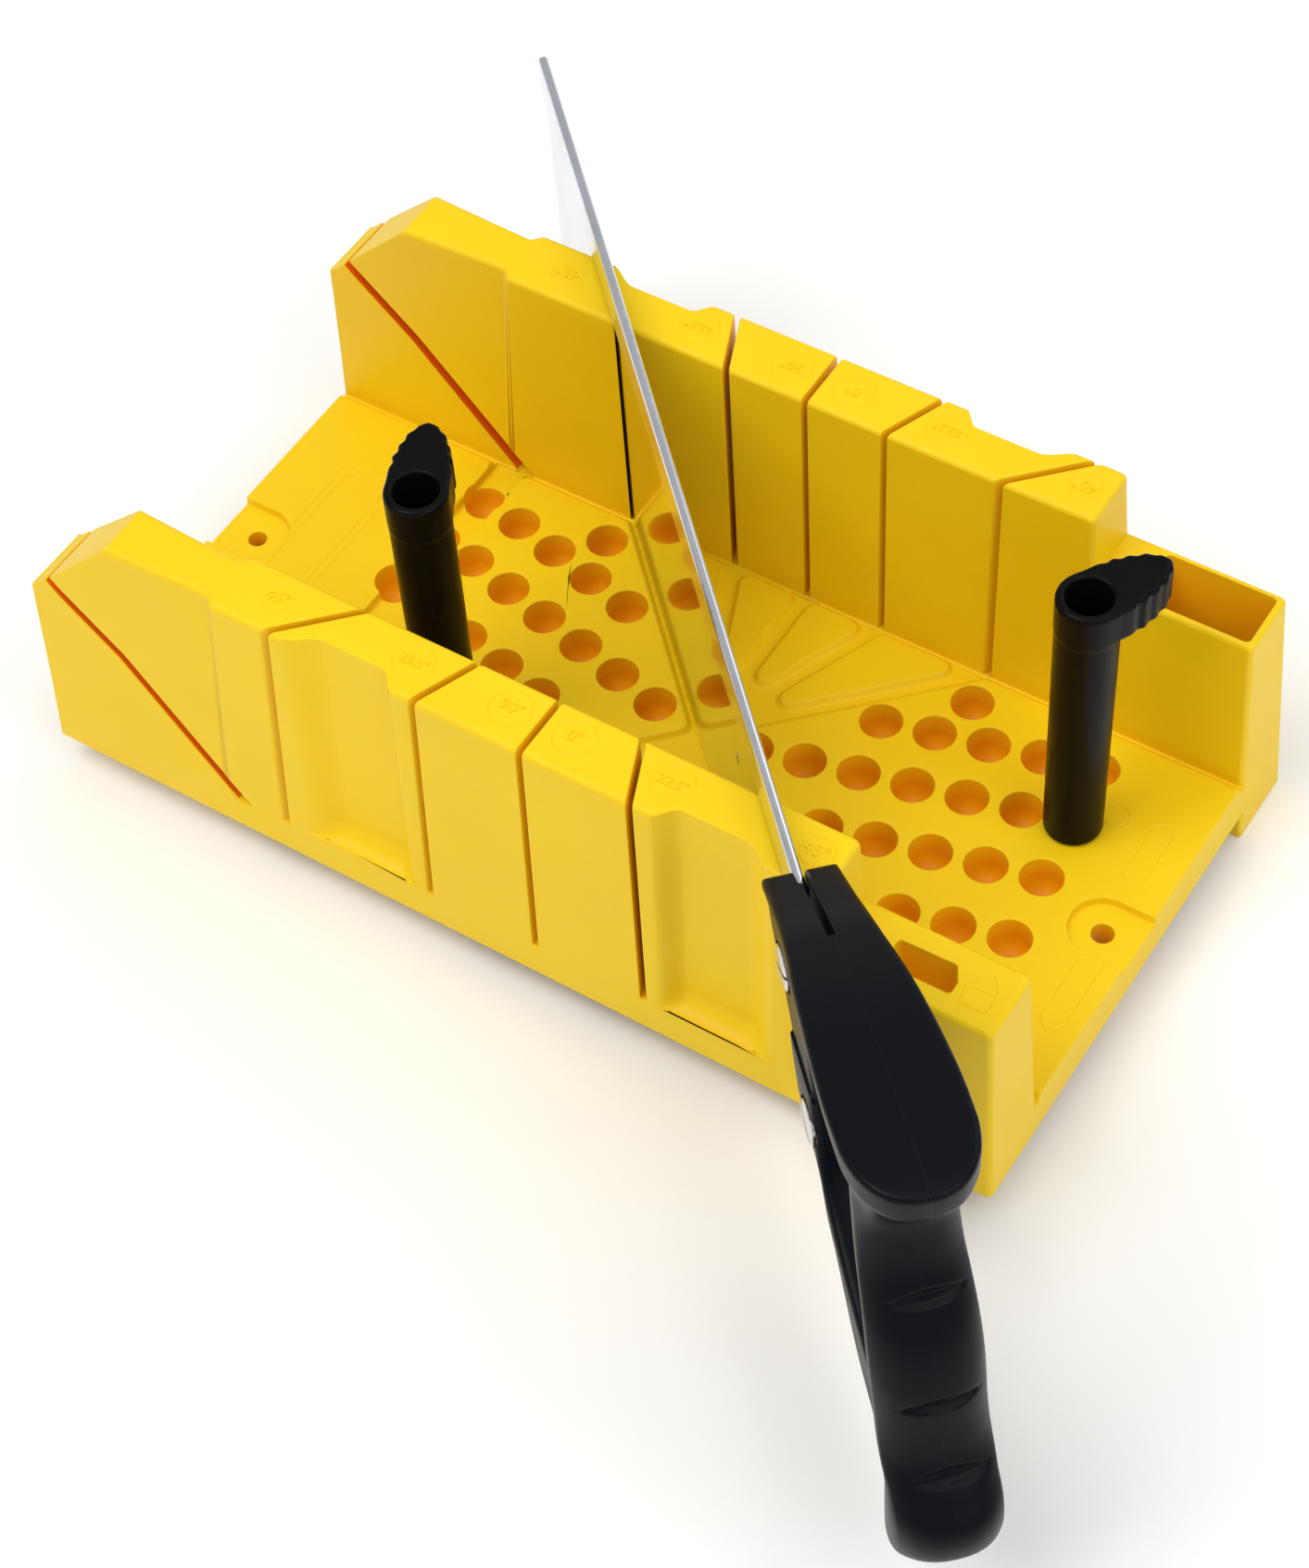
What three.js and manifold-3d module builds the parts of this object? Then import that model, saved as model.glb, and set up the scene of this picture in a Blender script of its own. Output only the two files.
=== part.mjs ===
// Clamping mitre box with its back saw standing in one of the 45-degree slots.
// Units are millimetres and +Z is up. X runs along the box, Y across it from the near fence (-Y) to the
// far fence (+Y). The origin is where the five slot lines cross, on the plane of the box's bench face.
import * as THREE from 'three';
import * as BufferGeometryUtils from 'three/addons/utils/BufferGeometryUtils.js';
import Module from 'manifold-3d';

const wasm = await Module();
wasm.setup();

// ---------------------------------------------------------------- driving dimensions: box
const FLOOR_TOP = 14;            // work floor above the bench face
const FLOOR_THICKNESS = 4;
const FENCE_TOP = 94;            // top of the two fences
const LOW_TOP = 70;              // top of the lower right-hand sections
const BENCH = 0;                 // bench face, bottom of the near fence
const LIP_BOTTOM = -11;          // bottom of the far fence, which hooks over the bench's edge
const LIP_FACE = 60.4;           // its upright face against that edge
const CHANNEL_HALF = 61;         // half the clear width between the fences, at their tops
const FENCE_OUTER = 81.2;        // outer face of a fence, at its top
const WALL = 2.5;                // moulding's wall
const LEFT_END = -165;           // left end at the height of LOW_TOP
const RIGHT_END = 139;           // right end at the height of LOW_TOP
const MAIN_LEFT = -98.5;         // the full-thickness part of a fence starts here, at its top
const MAIN_RIGHT = 90;           // and ends here
const BLOCK_INSET = 3;           // how far each face of the left block stands back at the step, at the top
const BLOCK_CORNER = 29;         // length of the left block's cut-off corner, along X
const BLOCK_SHOULDER = 66;       // height where that cut starts on the left end
const INNER_DRAFT = 0.0095;      // growth per millimetre down: fences' inner faces
const OUTER_DRAFT = 0.045;       // their outer faces
const END_DRAFT = 0.05;          // the end faces and the steps
const HOLLOW_STEP = 32;          // bottom of a left block's upper hollow

// slots: degrees away from the Y axis
const SLOT_ANGLES = [45, 22.5, 0, -22.5, -45];
const KERF = 1.8;
const GROOVE_WIDTH = 6;
const GROOVE_DEPTH = 2;
const HUB_GROOVE_RADIUS = 9;
const RIB_WIDTH = 3;             // rib under each groove
const HUB_RADIUS = 8.5;          // boss under the crossing
const SEAT_BOSS_WALL = 2;        // round a screw seat, under the floor
const BEVEL_FOOT = -102;         // where the 45-degree bevel kerf meets the height of the floor
const BEVEL_KERF = 2.6;
const BEVEL_GROOVE = { x0: -110, x1: -99, depth: 3, ribBottom: 4, ribWall: 2 };

// peg holes: the right-hand pattern, mirrored for the left
const HOLE_RADIUS = 6.2;
const SLEEVE_RADIUS = 7.7;
const SLEEVE_FLOOR = 1.5;        // thickness of a sleeve's closed bottom
const HOLE_STEP = new THREE.Vector2(15.33, 3.85);
const HOLE_ROWS = [
  { x: 62.3, y: 48.3, count: 1 },
  { x: 43.1, y: 29.4, count: 5 },
  { x: 16.2, y: 2.4, count: 7 },
  { x: 47.4, y: -11.6, count: 5 },
  { x: 65.0, y: -30.0, count: 4 },
];

// finger pockets in the outer faces, storage bin, small tool pocket, screw seats
const SCOOP = { mouthIn: 39.5, backIn: 46, backOut: 66, mouthOut: 75, depth: 5.3, bottom: 15 };
const BIN = { x0: 104, x1: 137, wall: 2 };
const LOW_HOLLOW = 95;           // where the hollows under the low sections start
const POCKET = { x0: 103.5, x1: 122, y0: -76, y1: -67.8, depth: 14 };
const SCREW_SEATS = [
  { x: -156.5, y: -1.6, radius: 10, depth: 3, hole: 2.8, openEnd: -180 },
  { x: 131, y: -2.5, radius: 9.7, depth: 3, hole: 3.2, openEnd: 150 },
];

// ---------------------------------------------------------------- driving dimensions: cam posts
const POST = {
  eccentricity: 1.5,             // tube axis behind the peg axis, away from the lever
  topRadius: 9.1,
  footRadius: 8.5,
  bore: 6.3,
  boreFloor: FLOOR_TOP + 6,
  top: FLOOR_TOP + 97,
  head: 12,
  overlap: 2,                    // tube and peg run this far into each other and the head
  pegRadius: 5.8,
  pegBottom: 3,
};
const LEVER = { reach: 20, tip: 4.6, root: 8.9 };  // from the tube's axis to the middle of the round tip
const TIP_STEPS = 6;
const ROOT_STEPS = 12;

// ---------------------------------------------------------------- driving dimensions: saw
// Drawn in its own plane: x along the cut towards the user, y across the blade, z up.
const SAW_TURN = THREE.MathUtils.degToRad(-45);
const CLEAR = 0.3;
const BLADE_THICKNESS = 0.8;
const TOOTH_LINE = 12.5;
const TOE = -183;
const HEEL = { foot: 165.5, shoulder: 154, low: 56, high: 79 };  // its edge leans forward in the handle
const SPINE = { x0: -187, x1: 152, bottom: 95.5, top: 108.5, half: 1.5, fold: 3, chamfer: 1 };
const WEB_HALF = 7.5;            // half thickness of the handle's web
const HANDLE_RIM = 5;            // thickness of its flared top
const HANG_HOLE = { centre: new THREE.Vector2(57.6, 73), radius: 1.6 };
const SCREW = { head: 6, headHeight: 1.6, shank: 2.4, barrel: 3.6, barrelLength: 8, sunk: 1, play: 0.5 };
const SCREW_CENTRES = { front: new THREE.Vector2(137, 91), rear: new THREE.Vector2(159.5, 55.5) };

// modelling allowances
const OVERLAP = 1;               // joined solids run this far into each other, and cutters past a face
const BLOCK_OVERLAP = 5;         // the left blocks run this far into the fences
const HOLLOW_OVERLAP = 8;        // their upper hollows into the fences' own
const PAST = 200;                // a cutter's reach, past everything
const ROUND = 24;                // sides of large, middling and small circles
const MEDIUM = 20;
const SMALL = 16;
const COARSE = 12;

// ---------------------------------------------------------------- helpers
function solid(geometry) {
  const bare = geometry.clone();
  bare.deleteAttribute('normal');
  bare.deleteAttribute('uv');
  const merged = BufferGeometryUtils.mergeVertices(bare, 1e-4);
  const vertProperties = new Float32Array(merged.attributes.position.array);
  const triVerts = new Uint32Array(merged.index.array);
  return new wasm.Manifold(new wasm.Mesh({ numProp: 3, vertProperties, triVerts }));
}

function toGeometry(manifold) {
  const mesh = manifold.getMesh();
  const geometry = new THREE.BufferGeometry();
  geometry.setAttribute('position', new THREE.BufferAttribute(new Float32Array(mesh.vertProperties), 3));
  geometry.setIndex(new THREE.BufferAttribute(new Uint32Array(mesh.triVerts), 1));
  geometry.computeVertexNormals();
  return geometry;
}

function union(geometries) {
  return geometries.map(solid).reduce((sum, next) => sum.add(next));
}

function cut(body, geometries) {
  return geometries.map(solid).reduce((rest, next) => rest.subtract(next), body);
}

function points(list) {
  return list.map(([x, y]) => new THREE.Vector2(x, y));
}

// Closed smooth outline through a few corners.
function smooth(corners, count) {
  const knots = corners.map((corner) => new THREE.Vector3(corner.x, corner.y, 0));
  const curve = new THREE.CatmullRomCurve3(knots, true, 'centripetal');
  return curve.getPoints(count).slice(0, -1).map((point) => new THREE.Vector2(point.x, point.y));
}

// Solid between an outline at height z0 and the same outline, grown or shifted, at height z1.
function loft(outlineAt, z0, z1) {
  const clockwise = THREE.ShapeUtils.isClockWise(outlineAt(z0));
  const ring = (z) => (clockwise ? outlineAt(z).reverse() : outlineAt(z));
  const lower = ring(z0);
  const count = lower.length;
  const rings = [[lower, z0], [ring(z1), z1]];
  const vertices = rings.flatMap(([outline, z]) => outline.flatMap((point) => [point.x, point.y, z]));
  const faces = [];
  for (let i = 0; i < count; i += 1) {
    const next = (i + 1) % count;
    faces.push(i, next, next + count, i, next + count, i + count);
  }
  THREE.ShapeUtils.triangulateShape(lower, []).forEach(([a, b, c]) => {
    faces.push(c, b, a, a + count, b + count, c + count);
  });
  const geometry = new THREE.BufferGeometry();
  geometry.setAttribute('position', new THREE.Float32BufferAttribute(vertices, 3));
  geometry.setIndex(faces);
  return geometry;
}

// Upright prism over an outline in plan.
function prism(outline, z0, z1) {
  return loft(() => outline.map((point) => point.clone()), z0, z1);
}

function block(x0, x1, y0, y1, z0, z1) {
  return prism(points([[x0, y0], [x1, y0], [x1, y1], [x0, y1]]), z0, z1);
}

// Prism over an outline in X and Z, from y0 to y1.
function plate(outline, y0, y1, holes = []) {
  const shape = new THREE.Shape(outline);
  shape.holes = holes.map((hole) => new THREE.Path(hole));
  const geometry = new THREE.ExtrudeGeometry(shape, { depth: y1 - y0, bevelEnabled: false });
  return geometry.rotateX(Math.PI / 2).translate(0, y1, 0);
}

function uprightRod(radius, z0, z1, x, y, sides) {
  const geometry = new THREE.CylinderGeometry(radius, radius, z1 - z0, sides);
  return geometry.rotateX(Math.PI / 2).translate(x, y, (z0 + z1) / 2);
}

// Rod across the saw's plane.
function crossRod(radius, y0, y1, centre, sides = MEDIUM) {
  const geometry = new THREE.CylinderGeometry(radius, radius, y1 - y0, sides);
  return geometry.translate(centre.x, (y0 + y1) / 2, centre.y);
}

// Moves every side of a convex outline inwards.
function inset(outline, distance) {
  const ring = THREE.ShapeUtils.isClockWise(outline) ? outline.slice().reverse() : outline;
  const count = ring.length;
  const sides = ring.map((start, i) => {
    const along = ring[(i + 1) % count].clone().sub(start).normalize();
    const inward = new THREE.Vector2(-along.y, along.x);
    return { start: start.clone().addScaledVector(inward, distance), along };
  });
  return sides.map((side, i) => {
    const before = sides[(i + count - 1) % count];
    const gap = side.start.clone().sub(before.start);
    const travel = gap.cross(side.along) / before.along.cross(side.along);
    return before.start.clone().addScaledVector(before.along, travel);
  });
}

function finish(name, body, material) {
  const geometry = body.isBufferGeometry ? body : toGeometry(body);
  const mesh = new THREE.Mesh(geometry, material);
  mesh.name = name;
  return mesh;
}

const yellowPlastic = new THREE.MeshStandardMaterial({ color: 0xf6cc18, roughness: 0.45, metalness: 0 });
const blackPlastic = new THREE.MeshStandardMaterial({ color: 0x17171a, roughness: 0.5, metalness: 0 });
const handlePlastic = new THREE.MeshStandardMaterial({ color: 0x1c1e24, roughness: 0.55, metalness: 0 });
const polishedSteel = new THREE.MeshStandardMaterial({ color: 0xc9ccd0, roughness: 0.12, metalness: 1 });
const foldedSteel = new THREE.MeshStandardMaterial({ color: 0xc2c6cc, roughness: 0.25, metalness: 1 });
const zincSteel = new THREE.MeshStandardMaterial({ color: 0xd5d6d6, roughness: 0.3, metalness: 1 });

// ---------------------------------------------------------------- box
const innerFace = (z) => CHANNEL_HALF - INNER_DRAFT * (FENCE_TOP - z);
const outerFace = (z) => FENCE_OUTER + OUTER_DRAFT * (FENCE_TOP - z);
const leftEnd = (z) => LEFT_END - END_DRAFT * (LOW_TOP - z);
const rightEnd = (z) => RIGHT_END + END_DRAFT * (LOW_TOP - z);
const leftStep = (z) => MAIN_LEFT - END_DRAFT * (FENCE_TOP - z);
const rightStep = (z) => MAIN_RIGHT + END_DRAFT * (FENCE_TOP - z);
const slotX = (angle, y) => y * Math.tan(THREE.MathUtils.degToRad(angle));
const blockInset = (z) => (BLOCK_INSET * Math.max(0, z - FLOOR_TOP)) / (FENCE_TOP - FLOOR_TOP);
const kerfWall = WALL + KERF / 2;
const footOf = (side) => (side > 0 ? LIP_BOTTOM : BENCH);

// Rectangle in plan on one side of the box, between two distances from the X axis.
function band(side, x0, x1, near, far) {
  return points([[x0, side * near], [x1, side * near], [x1, side * far], [x0, side * far]]);
}

function fence(side) {
  const foot = footOf(side);
  const inMain = MAIN_LEFT + BLOCK_OVERLAP;
  const leftBlock = (z) => points([
    [leftEnd(z), side * innerFace(z)], [inMain, side * (innerFace(z) + blockInset(z))],
    [inMain, side * (outerFace(z) - blockInset(z))], [leftEnd(z), side * outerFace(z)],
  ]);
  const body = union([
    loft((z) => band(side, leftStep(z), rightStep(z), innerFace(z), outerFace(z)), foot, FENCE_TOP),
    loft((z) => band(side, 0, rightEnd(z), innerFace(z), outerFace(z)), foot, LOW_TOP),
    loft(leftBlock, foot, FLOOR_TOP),
    loft(leftBlock, FLOOR_TOP, FENCE_TOP),
  ]);
  return cut(body, [blockCorner(side)]);
}

// The cut-off upper corner of a left block.
function blockCorner(side) {
  const outline = points([
    [-PAST, BLOCK_SHOULDER], [LEFT_END, BLOCK_SHOULDER], [LEFT_END + BLOCK_CORNER, FENCE_TOP],
    [LEFT_END + BLOCK_CORNER, PAST], [-PAST, PAST],
  ]);
  return plate(outline, Math.min(0, side * PAST), Math.max(0, side * PAST));
}

// Hollows under the full-thickness part of a fence, one between each pair of slots.
function fenceHollows(side) {
  const angles = side < 0 ? SLOT_ANGLES : [...SLOT_ANGLES].reverse();
  return Array.from({ length: angles.length + 1 }, (_, cell) => {
    const scooped = cell === 1 || cell === angles.length - 1;
    const outlineAt = (z) => {
      const near = side * innerFace(z);
      const far = side * (outerFace(z) - (scooped ? SCOOP.depth : 0));
      const left = (y) => (cell === 0 ? MAIN_LEFT : slotX(angles[cell - 1], y));
      const right = (y) => (cell === angles.length ? rightStep(z) : slotX(angles[cell], y));
      return inset(points([[left(near), near], [right(near), near], [right(far), far], [left(far), far]]),
        kerfWall);
    };
    return loft(outlineAt, footOf(side) - OVERLAP, FENCE_TOP - WALL);
  });
}

// Hollows of a left block below and above its bevel kerf; the upper one opens into the next hollow.
function blockHollows(side) {
  const kerfX = (z) => BEVEL_FOOT + FLOOR_TOP - z;
  const slope = (FENCE_TOP - BLOCK_SHOULDER) / BLOCK_CORNER;
  const meetX = (BEVEL_FOOT + FLOOR_TOP - BLOCK_SHOULDER + slope * LEFT_END) / (1 + slope);
  const meetZ = BLOCK_SHOULDER + slope * (meetX - LEFT_END);
  const inFence = MAIN_LEFT + HOLLOW_OVERLAP;
  const below = points([
    [LEFT_END, -PAST], [BEVEL_FOOT, -PAST], [BEVEL_FOOT, FLOOR_TOP], [meetX, meetZ],
    [LEFT_END, BLOCK_SHOULDER],
  ]);
  const above = points([
    [kerfX(HOLLOW_STEP), HOLLOW_STEP], [inFence, HOLLOW_STEP], [inFence, FENCE_TOP],
    [LEFT_END + BLOCK_CORNER, FENCE_TOP], [meetX, meetZ],
  ]);
  const near = CHANNEL_HALF + BLOCK_INSET + WALL;
  const far = FENCE_OUTER - BLOCK_INSET - WALL;
  return [below, above].map((outline) =>
    plate(inset(outline, kerfWall), Math.min(side * near, side * far), Math.max(side * near, side * far)));
}

function scoops(side) {
  return [-1, 1].map((end) => {
    const { mouthIn, backIn, backOut, mouthOut, depth } = SCOOP;
    const outlineAt = (z) => {
      const back = side * (outerFace(z) - depth);
      const beyond = side * (outerFace(z) + depth);
      return points([
        [end * backIn, back], [end * backOut, back],
        [end * (2 * mouthOut - backOut), beyond], [end * (2 * mouthIn - backIn), beyond],
      ]);
    };
    return loft(outlineAt, SCOOP.bottom, FENCE_TOP + OVERLAP);
  });
}

// Storage bin in the far right-hand section, tool pocket in the near one, and the hollows under them.
function endPockets() {
  const hollow = (side, x1, z0, z1) => loft(
    (z) => band(side, LOW_HOLLOW, x1, innerFace(z) + WALL, outerFace(z) - WALL), z0, z1);
  const bin = loft(
    (z) => band(1, BIN.x0, BIN.x1, innerFace(z) + BIN.wall, outerFace(z) - BIN.wall),
    FLOOR_TOP, LOW_TOP + OVERLAP);
  const pocketFloor = LOW_TOP - POCKET.depth;
  return [
    bin,
    block(POCKET.x0, POCKET.x1, POCKET.y0, POCKET.y1, pocketFloor, LOW_TOP + OVERLAP),
    hollow(1, BIN.x1, LIP_BOTTOM - OVERLAP, FLOOR_TOP - WALL),
    hollow(1, BIN.x0 - WALL, LIP_BOTTOM - OVERLAP, LOW_TOP - WALL),
    hollow(-1, BIN.x1, BENCH - OVERLAP, pocketFloor - WALL),
  ];
}

// Upright slab along a slot line.
function slotSlab(angle, width, reach, z0, z1) {
  return block(-width / 2, width / 2, -reach, reach, z0, z1).rotateZ(-THREE.MathUtils.degToRad(angle));
}

function holeCentres() {
  const right = HOLE_ROWS.flatMap(({ x, y, count }) =>
    Array.from({ length: count }, (_, i) => new THREE.Vector2(x, y).addScaledVector(HOLE_STEP, i)));
  return [...right, ...right.map((centre) => new THREE.Vector2(-centre.x, centre.y))];
}

// Floor between the fences with its end skirts, ribs, bosses and the sleeves of the peg holes, all trimmed
// to the drafted end faces.
function floor() {
  const under = FLOOR_TOP - FLOOR_THICKNESS;
  const inFloor = under + OVERLAP;
  const half = CHANNEL_HALF + OVERLAP;
  const slab = (x0, x1, reach, z0, z1) => loft((z) => band(1, x0(z), x1(z), -reach, reach), z0, z1);
  const reachOf = (angle) => half / Math.cos(THREE.MathUtils.degToRad(angle));
  const body = union([
    slab(leftEnd, rightEnd, half, under, FLOOR_TOP),
    slab(leftEnd, (z) => leftEnd(z) + WALL, half, BENCH, FLOOR_TOP),
    slab((z) => rightEnd(z) - WALL, rightEnd, half, BENCH, FLOOR_TOP),
    block(BEVEL_GROOVE.x0 - BEVEL_GROOVE.ribWall, BEVEL_GROOVE.x1 + BEVEL_GROOVE.ribWall, -half, half,
      BEVEL_GROOVE.ribBottom, inFloor),
    uprightRod(HUB_RADIUS, BENCH, inFloor, 0, 0, MEDIUM),
    ...SLOT_ANGLES.map((angle) => slotSlab(angle, RIB_WIDTH, reachOf(angle), BENCH, inFloor)),
    ...SCREW_SEATS.map(({ x, y, radius }) =>
      uprightRod(radius + SEAT_BOSS_WALL, BENCH, inFloor, x, y, MEDIUM)),
    ...holeCentres().map(({ x, y }) => uprightRod(SLEEVE_RADIUS, BENCH, inFloor, x, y, COARSE)),
  ]);
  return body.intersect(solid(slab(leftEnd, rightEnd, half, BENCH, FLOOR_TOP)));
}

// Grooves in the work floor under the slots and the bevel kerf; they stop at the fences.
function grooves() {
  const bottom = FLOOR_TOP - GROOVE_DEPTH;
  const lines = union([
    ...SLOT_ANGLES.map((angle) => slotSlab(angle, GROOVE_WIDTH, PAST, bottom, FLOOR_TOP + OVERLAP)),
    uprightRod(HUB_GROOVE_RADIUS, bottom, FLOOR_TOP + OVERLAP, 0, 0, MEDIUM),
    block(BEVEL_GROOVE.x0, BEVEL_GROOVE.x1, -PAST, PAST, FLOOR_TOP - BEVEL_GROOVE.depth, FLOOR_TOP + OVERLAP),
  ]);
  const half = innerFace(FLOOR_TOP);
  return lines.intersect(solid(block(-PAST, PAST, -half, half, BENCH, FLOOR_TOP + OVERLAP)));
}

// Kerf for 45-degree bevel cuts through both left blocks.
function bevelKerf() {
  const half = (BEVEL_KERF / 2) * Math.SQRT2;
  const z0 = FLOOR_TOP - BEVEL_GROOVE.depth;
  const z1 = FENCE_TOP + BLOCK_OVERLAP;
  const x = (z) => BEVEL_FOOT + FLOOR_TOP - z;
  return plate(points([
    [x(z0) - half, z0], [x(z0) + half, z0], [x(z1) + half, z1], [x(z1) - half, z1],
  ]), -PAST, PAST);
}

function boxBody() {
  const whole = [fence(-1), fence(1), floor()].reduce((sum, next) => sum.add(next));
  const circumscribed = HOLE_RADIUS / Math.cos(Math.PI / COARSE);
  const body = cut(whole, [
    ...[-1, 1].flatMap((side) => [...fenceHollows(side), ...blockHollows(side), ...scoops(side)]),
    ...endPockets(),
    block(-PAST, PAST, LIP_FACE - BLOCK_OVERLAP, LIP_FACE, LIP_BOTTOM - OVERLAP, BENCH),
    ...SLOT_ANGLES.map((angle) => slotSlab(angle, KERF, PAST, FLOOR_TOP - GROOVE_DEPTH, PAST)),
    bevelKerf(),
    ...holeCentres().map(({ x, y }) =>
      uprightRod(circumscribed, BENCH + SLEEVE_FLOOR, FLOOR_TOP + OVERLAP, x, y, COARSE)),
    ...SCREW_SEATS.flatMap(({ x, y, radius, depth, hole, openEnd }) => [
      uprightRod(radius, FLOOR_TOP - depth, FLOOR_TOP + OVERLAP, x, y, MEDIUM),
      block(Math.min(x, openEnd), Math.max(x, openEnd), y - radius, y + radius,
        FLOOR_TOP - depth, FLOOR_TOP + OVERLAP),
      uprightRod(hole, BENCH - OVERLAP, FLOOR_TOP + OVERLAP, x, y, COARSE),
    ]),
  ]);
  return body.subtract(grooves());
}

// ---------------------------------------------------------------- cam posts
// Plan outline of a post's head: round over the tube, straight flanks, round lever tip along +X.
function headOutline() {
  const lean = Math.asin((LEVER.root - LEVER.tip) / LEVER.reach);
  const half = Math.PI / 2 - lean;
  const outline = [];
  for (let i = 0; i <= TIP_STEPS; i += 1) {
    const turn = half - (2 * half * i) / TIP_STEPS;
    outline.push(new THREE.Vector2(LEVER.reach + LEVER.tip * Math.cos(turn), LEVER.tip * Math.sin(turn)));
  }
  for (let i = 0; i <= ROOT_STEPS; i += 1) {
    const turn = -half - (2 * (Math.PI - half) * i) / ROOT_STEPS;
    outline.push(new THREE.Vector2(LEVER.root * Math.cos(turn), LEVER.root * Math.sin(turn)));
  }
  return outline;
}

// The peg's axis is at the origin and the lever points along +X.
function camPost() {
  const foot = FLOOR_TOP + CLEAR;
  const tubeX = -POST.eccentricity;
  const tubeTop = POST.top - POST.overlap;
  const tube = new THREE.CylinderGeometry(POST.topRadius, POST.footRadius, tubeTop - foot, ROUND);
  const body = union([
    tube.rotateX(Math.PI / 2).translate(tubeX, 0, (tubeTop + foot) / 2),
    prism(headOutline(), POST.top - POST.head, POST.top).translate(tubeX, 0, 0),
    uprightRod(POST.pegRadius, POST.pegBottom, foot + POST.overlap, 0, 0, SMALL),
  ]);
  return cut(body, [uprightRod(POST.bore, POST.boreFloor, POST.top + OVERLAP, tubeX, 0, ROUND)]);
}

function placedPost(name, row, index, side, lever) {
  const { x, y } = HOLE_ROWS[row];
  const centre = new THREE.Vector2(x, y).addScaledVector(HOLE_STEP, index);
  const geometry = toGeometry(camPost());
  geometry.rotateZ(THREE.MathUtils.degToRad(lever)).translate(side * centre.x, centre.y, 0);
  return finish(name, geometry, blackPlastic);
}

// ---------------------------------------------------------------- saw
const bladeOutline = points([
  [TOE, TOOTH_LINE], [HEEL.foot, TOOTH_LINE], [HEEL.foot, HEEL.low], [HEEL.shoulder, HEEL.high],
  [HEEL.shoulder, SPINE.bottom - OVERLAP], [SPINE.x1, SPINE.bottom - OVERLAP],
  [SPINE.x1, SPINE.top - SPINE.fold - CLEAR], [SPINE.x0 + OVERLAP, SPINE.top - SPINE.fold - CLEAR],
]);

function circleAt(centre, radius, count) {
  return Array.from({ length: count }, (_, i) => new THREE.Vector2(
    centre.x + radius * Math.cos((2 * Math.PI * i) / count),
    centre.y + radius * Math.sin((2 * Math.PI * i) / count)));
}

function sawBlade() {
  const half = BLADE_THICKNESS / 2;
  const holes = Object.values(SCREW_CENTRES).map((centre) =>
    circleAt(centre, SCREW.barrel + SCREW.play, SMALL));
  const hangHole = circleAt(HANG_HOLE.centre, HANG_HOLE.radius, COARSE);
  return solid(plate(bladeOutline, -half, half, [...holes, hangHole]));
}

// Folded back: a steel strip closed over the blade's top edge.
function sawBack() {
  const { x0, x1, bottom, top, half, fold, chamfer } = SPINE;
  const gap = BLADE_THICKNESS / 2 + CLEAR;
  const length = x1 - x0;
  const section = new THREE.Shape(points([
    [-half, bottom], [-gap, bottom], [-gap, top - fold], [gap, top - fold], [gap, bottom], [half, bottom],
    [half, top - chamfer], [half - chamfer, top], [chamfer - half, top], [-half, top - chamfer],
  ]));
  const geometry = new THREE.ExtrudeGeometry(section, { depth: length, bevelEnabled: false });
  return geometry.rotateX(Math.PI / 2).rotateZ(Math.PI / 2).translate(x0, 0, 0);
}

// The handle's top line, its whole outline and the hand opening, seen from the side.
const handleTop = points([[126, 113.5], [142, 122], [158, 130], [185, 140], [215, 147], [234, 150]]);
const handleSide = points([
  ...handleTop.map((point) => [point.x, point.y]),
  [243, 146], [240, 132], [232, 116], [236, 104], [246, 90], [255, 62],
  [268, 48], [270, 30], [252, 15.5], [236, 13.6],
  [220, 15.5], [204, 19.5], [187, 32], [177, 37.5], [168, 47], [151, 52], [143.5, 61], [133, 80], [123, 96],
]);
const handOpening = points([
  [159, 100], [161.5, 80], [165, 66], [172.5, 52], [184, 44], [206, 38], [222, 42], [224, 56],
  [216, 76], [206, 96], [197, 116], [186, 121], [168, 113],
]);

const rimNose = [[243, 147], [242, 142]];  // rear end of the flared top, seen from the side
const RIM_LEAN = 1;
const OUTLINE_STEPS = 72;
const OPENING_STEPS = 36;

// Half widths of the flared top, seen from above.
const topPlan = points([[122, 8.8], [156, 11.1], [177, 13.8], [200, 15.6], [218, 15.8], [232, 13], [240, 8]]);

// Cross sections of the grip: height, middle, half depth along the saw, half width across it.
const gripSections = [
  { z: 128, x: 216, depth: 15, width: 13 },
  { z: 106, x: 219.5, depth: 15.5, width: 13.3 },
  { z: 92, x: 229.5, depth: 16, width: 14.2 },
  { z: 62, x: 239.5, depth: 16.5, width: 14.6 },
  { z: 48, x: 249, depth: 19.5, width: 15.2 },
  { z: 30, x: 250, depth: 19.5, width: 15.8 },
  { z: 16, x: 245, depth: 12, width: 11 },
];

// A section is egg-shaped: it narrows from its widest place, behind the middle, to its front.
const EGG = { widest: 0.4, taper: 0.3 };

function egg(section, sides) {
  return Array.from({ length: sides }, (_, i) => {
    const turn = (2 * Math.PI * i) / sides;
    const half = section.width * (1 - EGG.taper * Math.max(0, EGG.widest - Math.cos(turn)));
    return new THREE.Vector2(section.x + section.depth * Math.cos(turn), half * Math.sin(turn));
  });
}

function grip() {
  const pairs = gripSections.slice(1).map((lower, i) => [lower, gripSections[i]]);
  return pairs.map(([lower, upper]) =>
    loft((z) => egg(z === lower.z ? lower : upper, SMALL), lower.z, upper.z));
}

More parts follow.
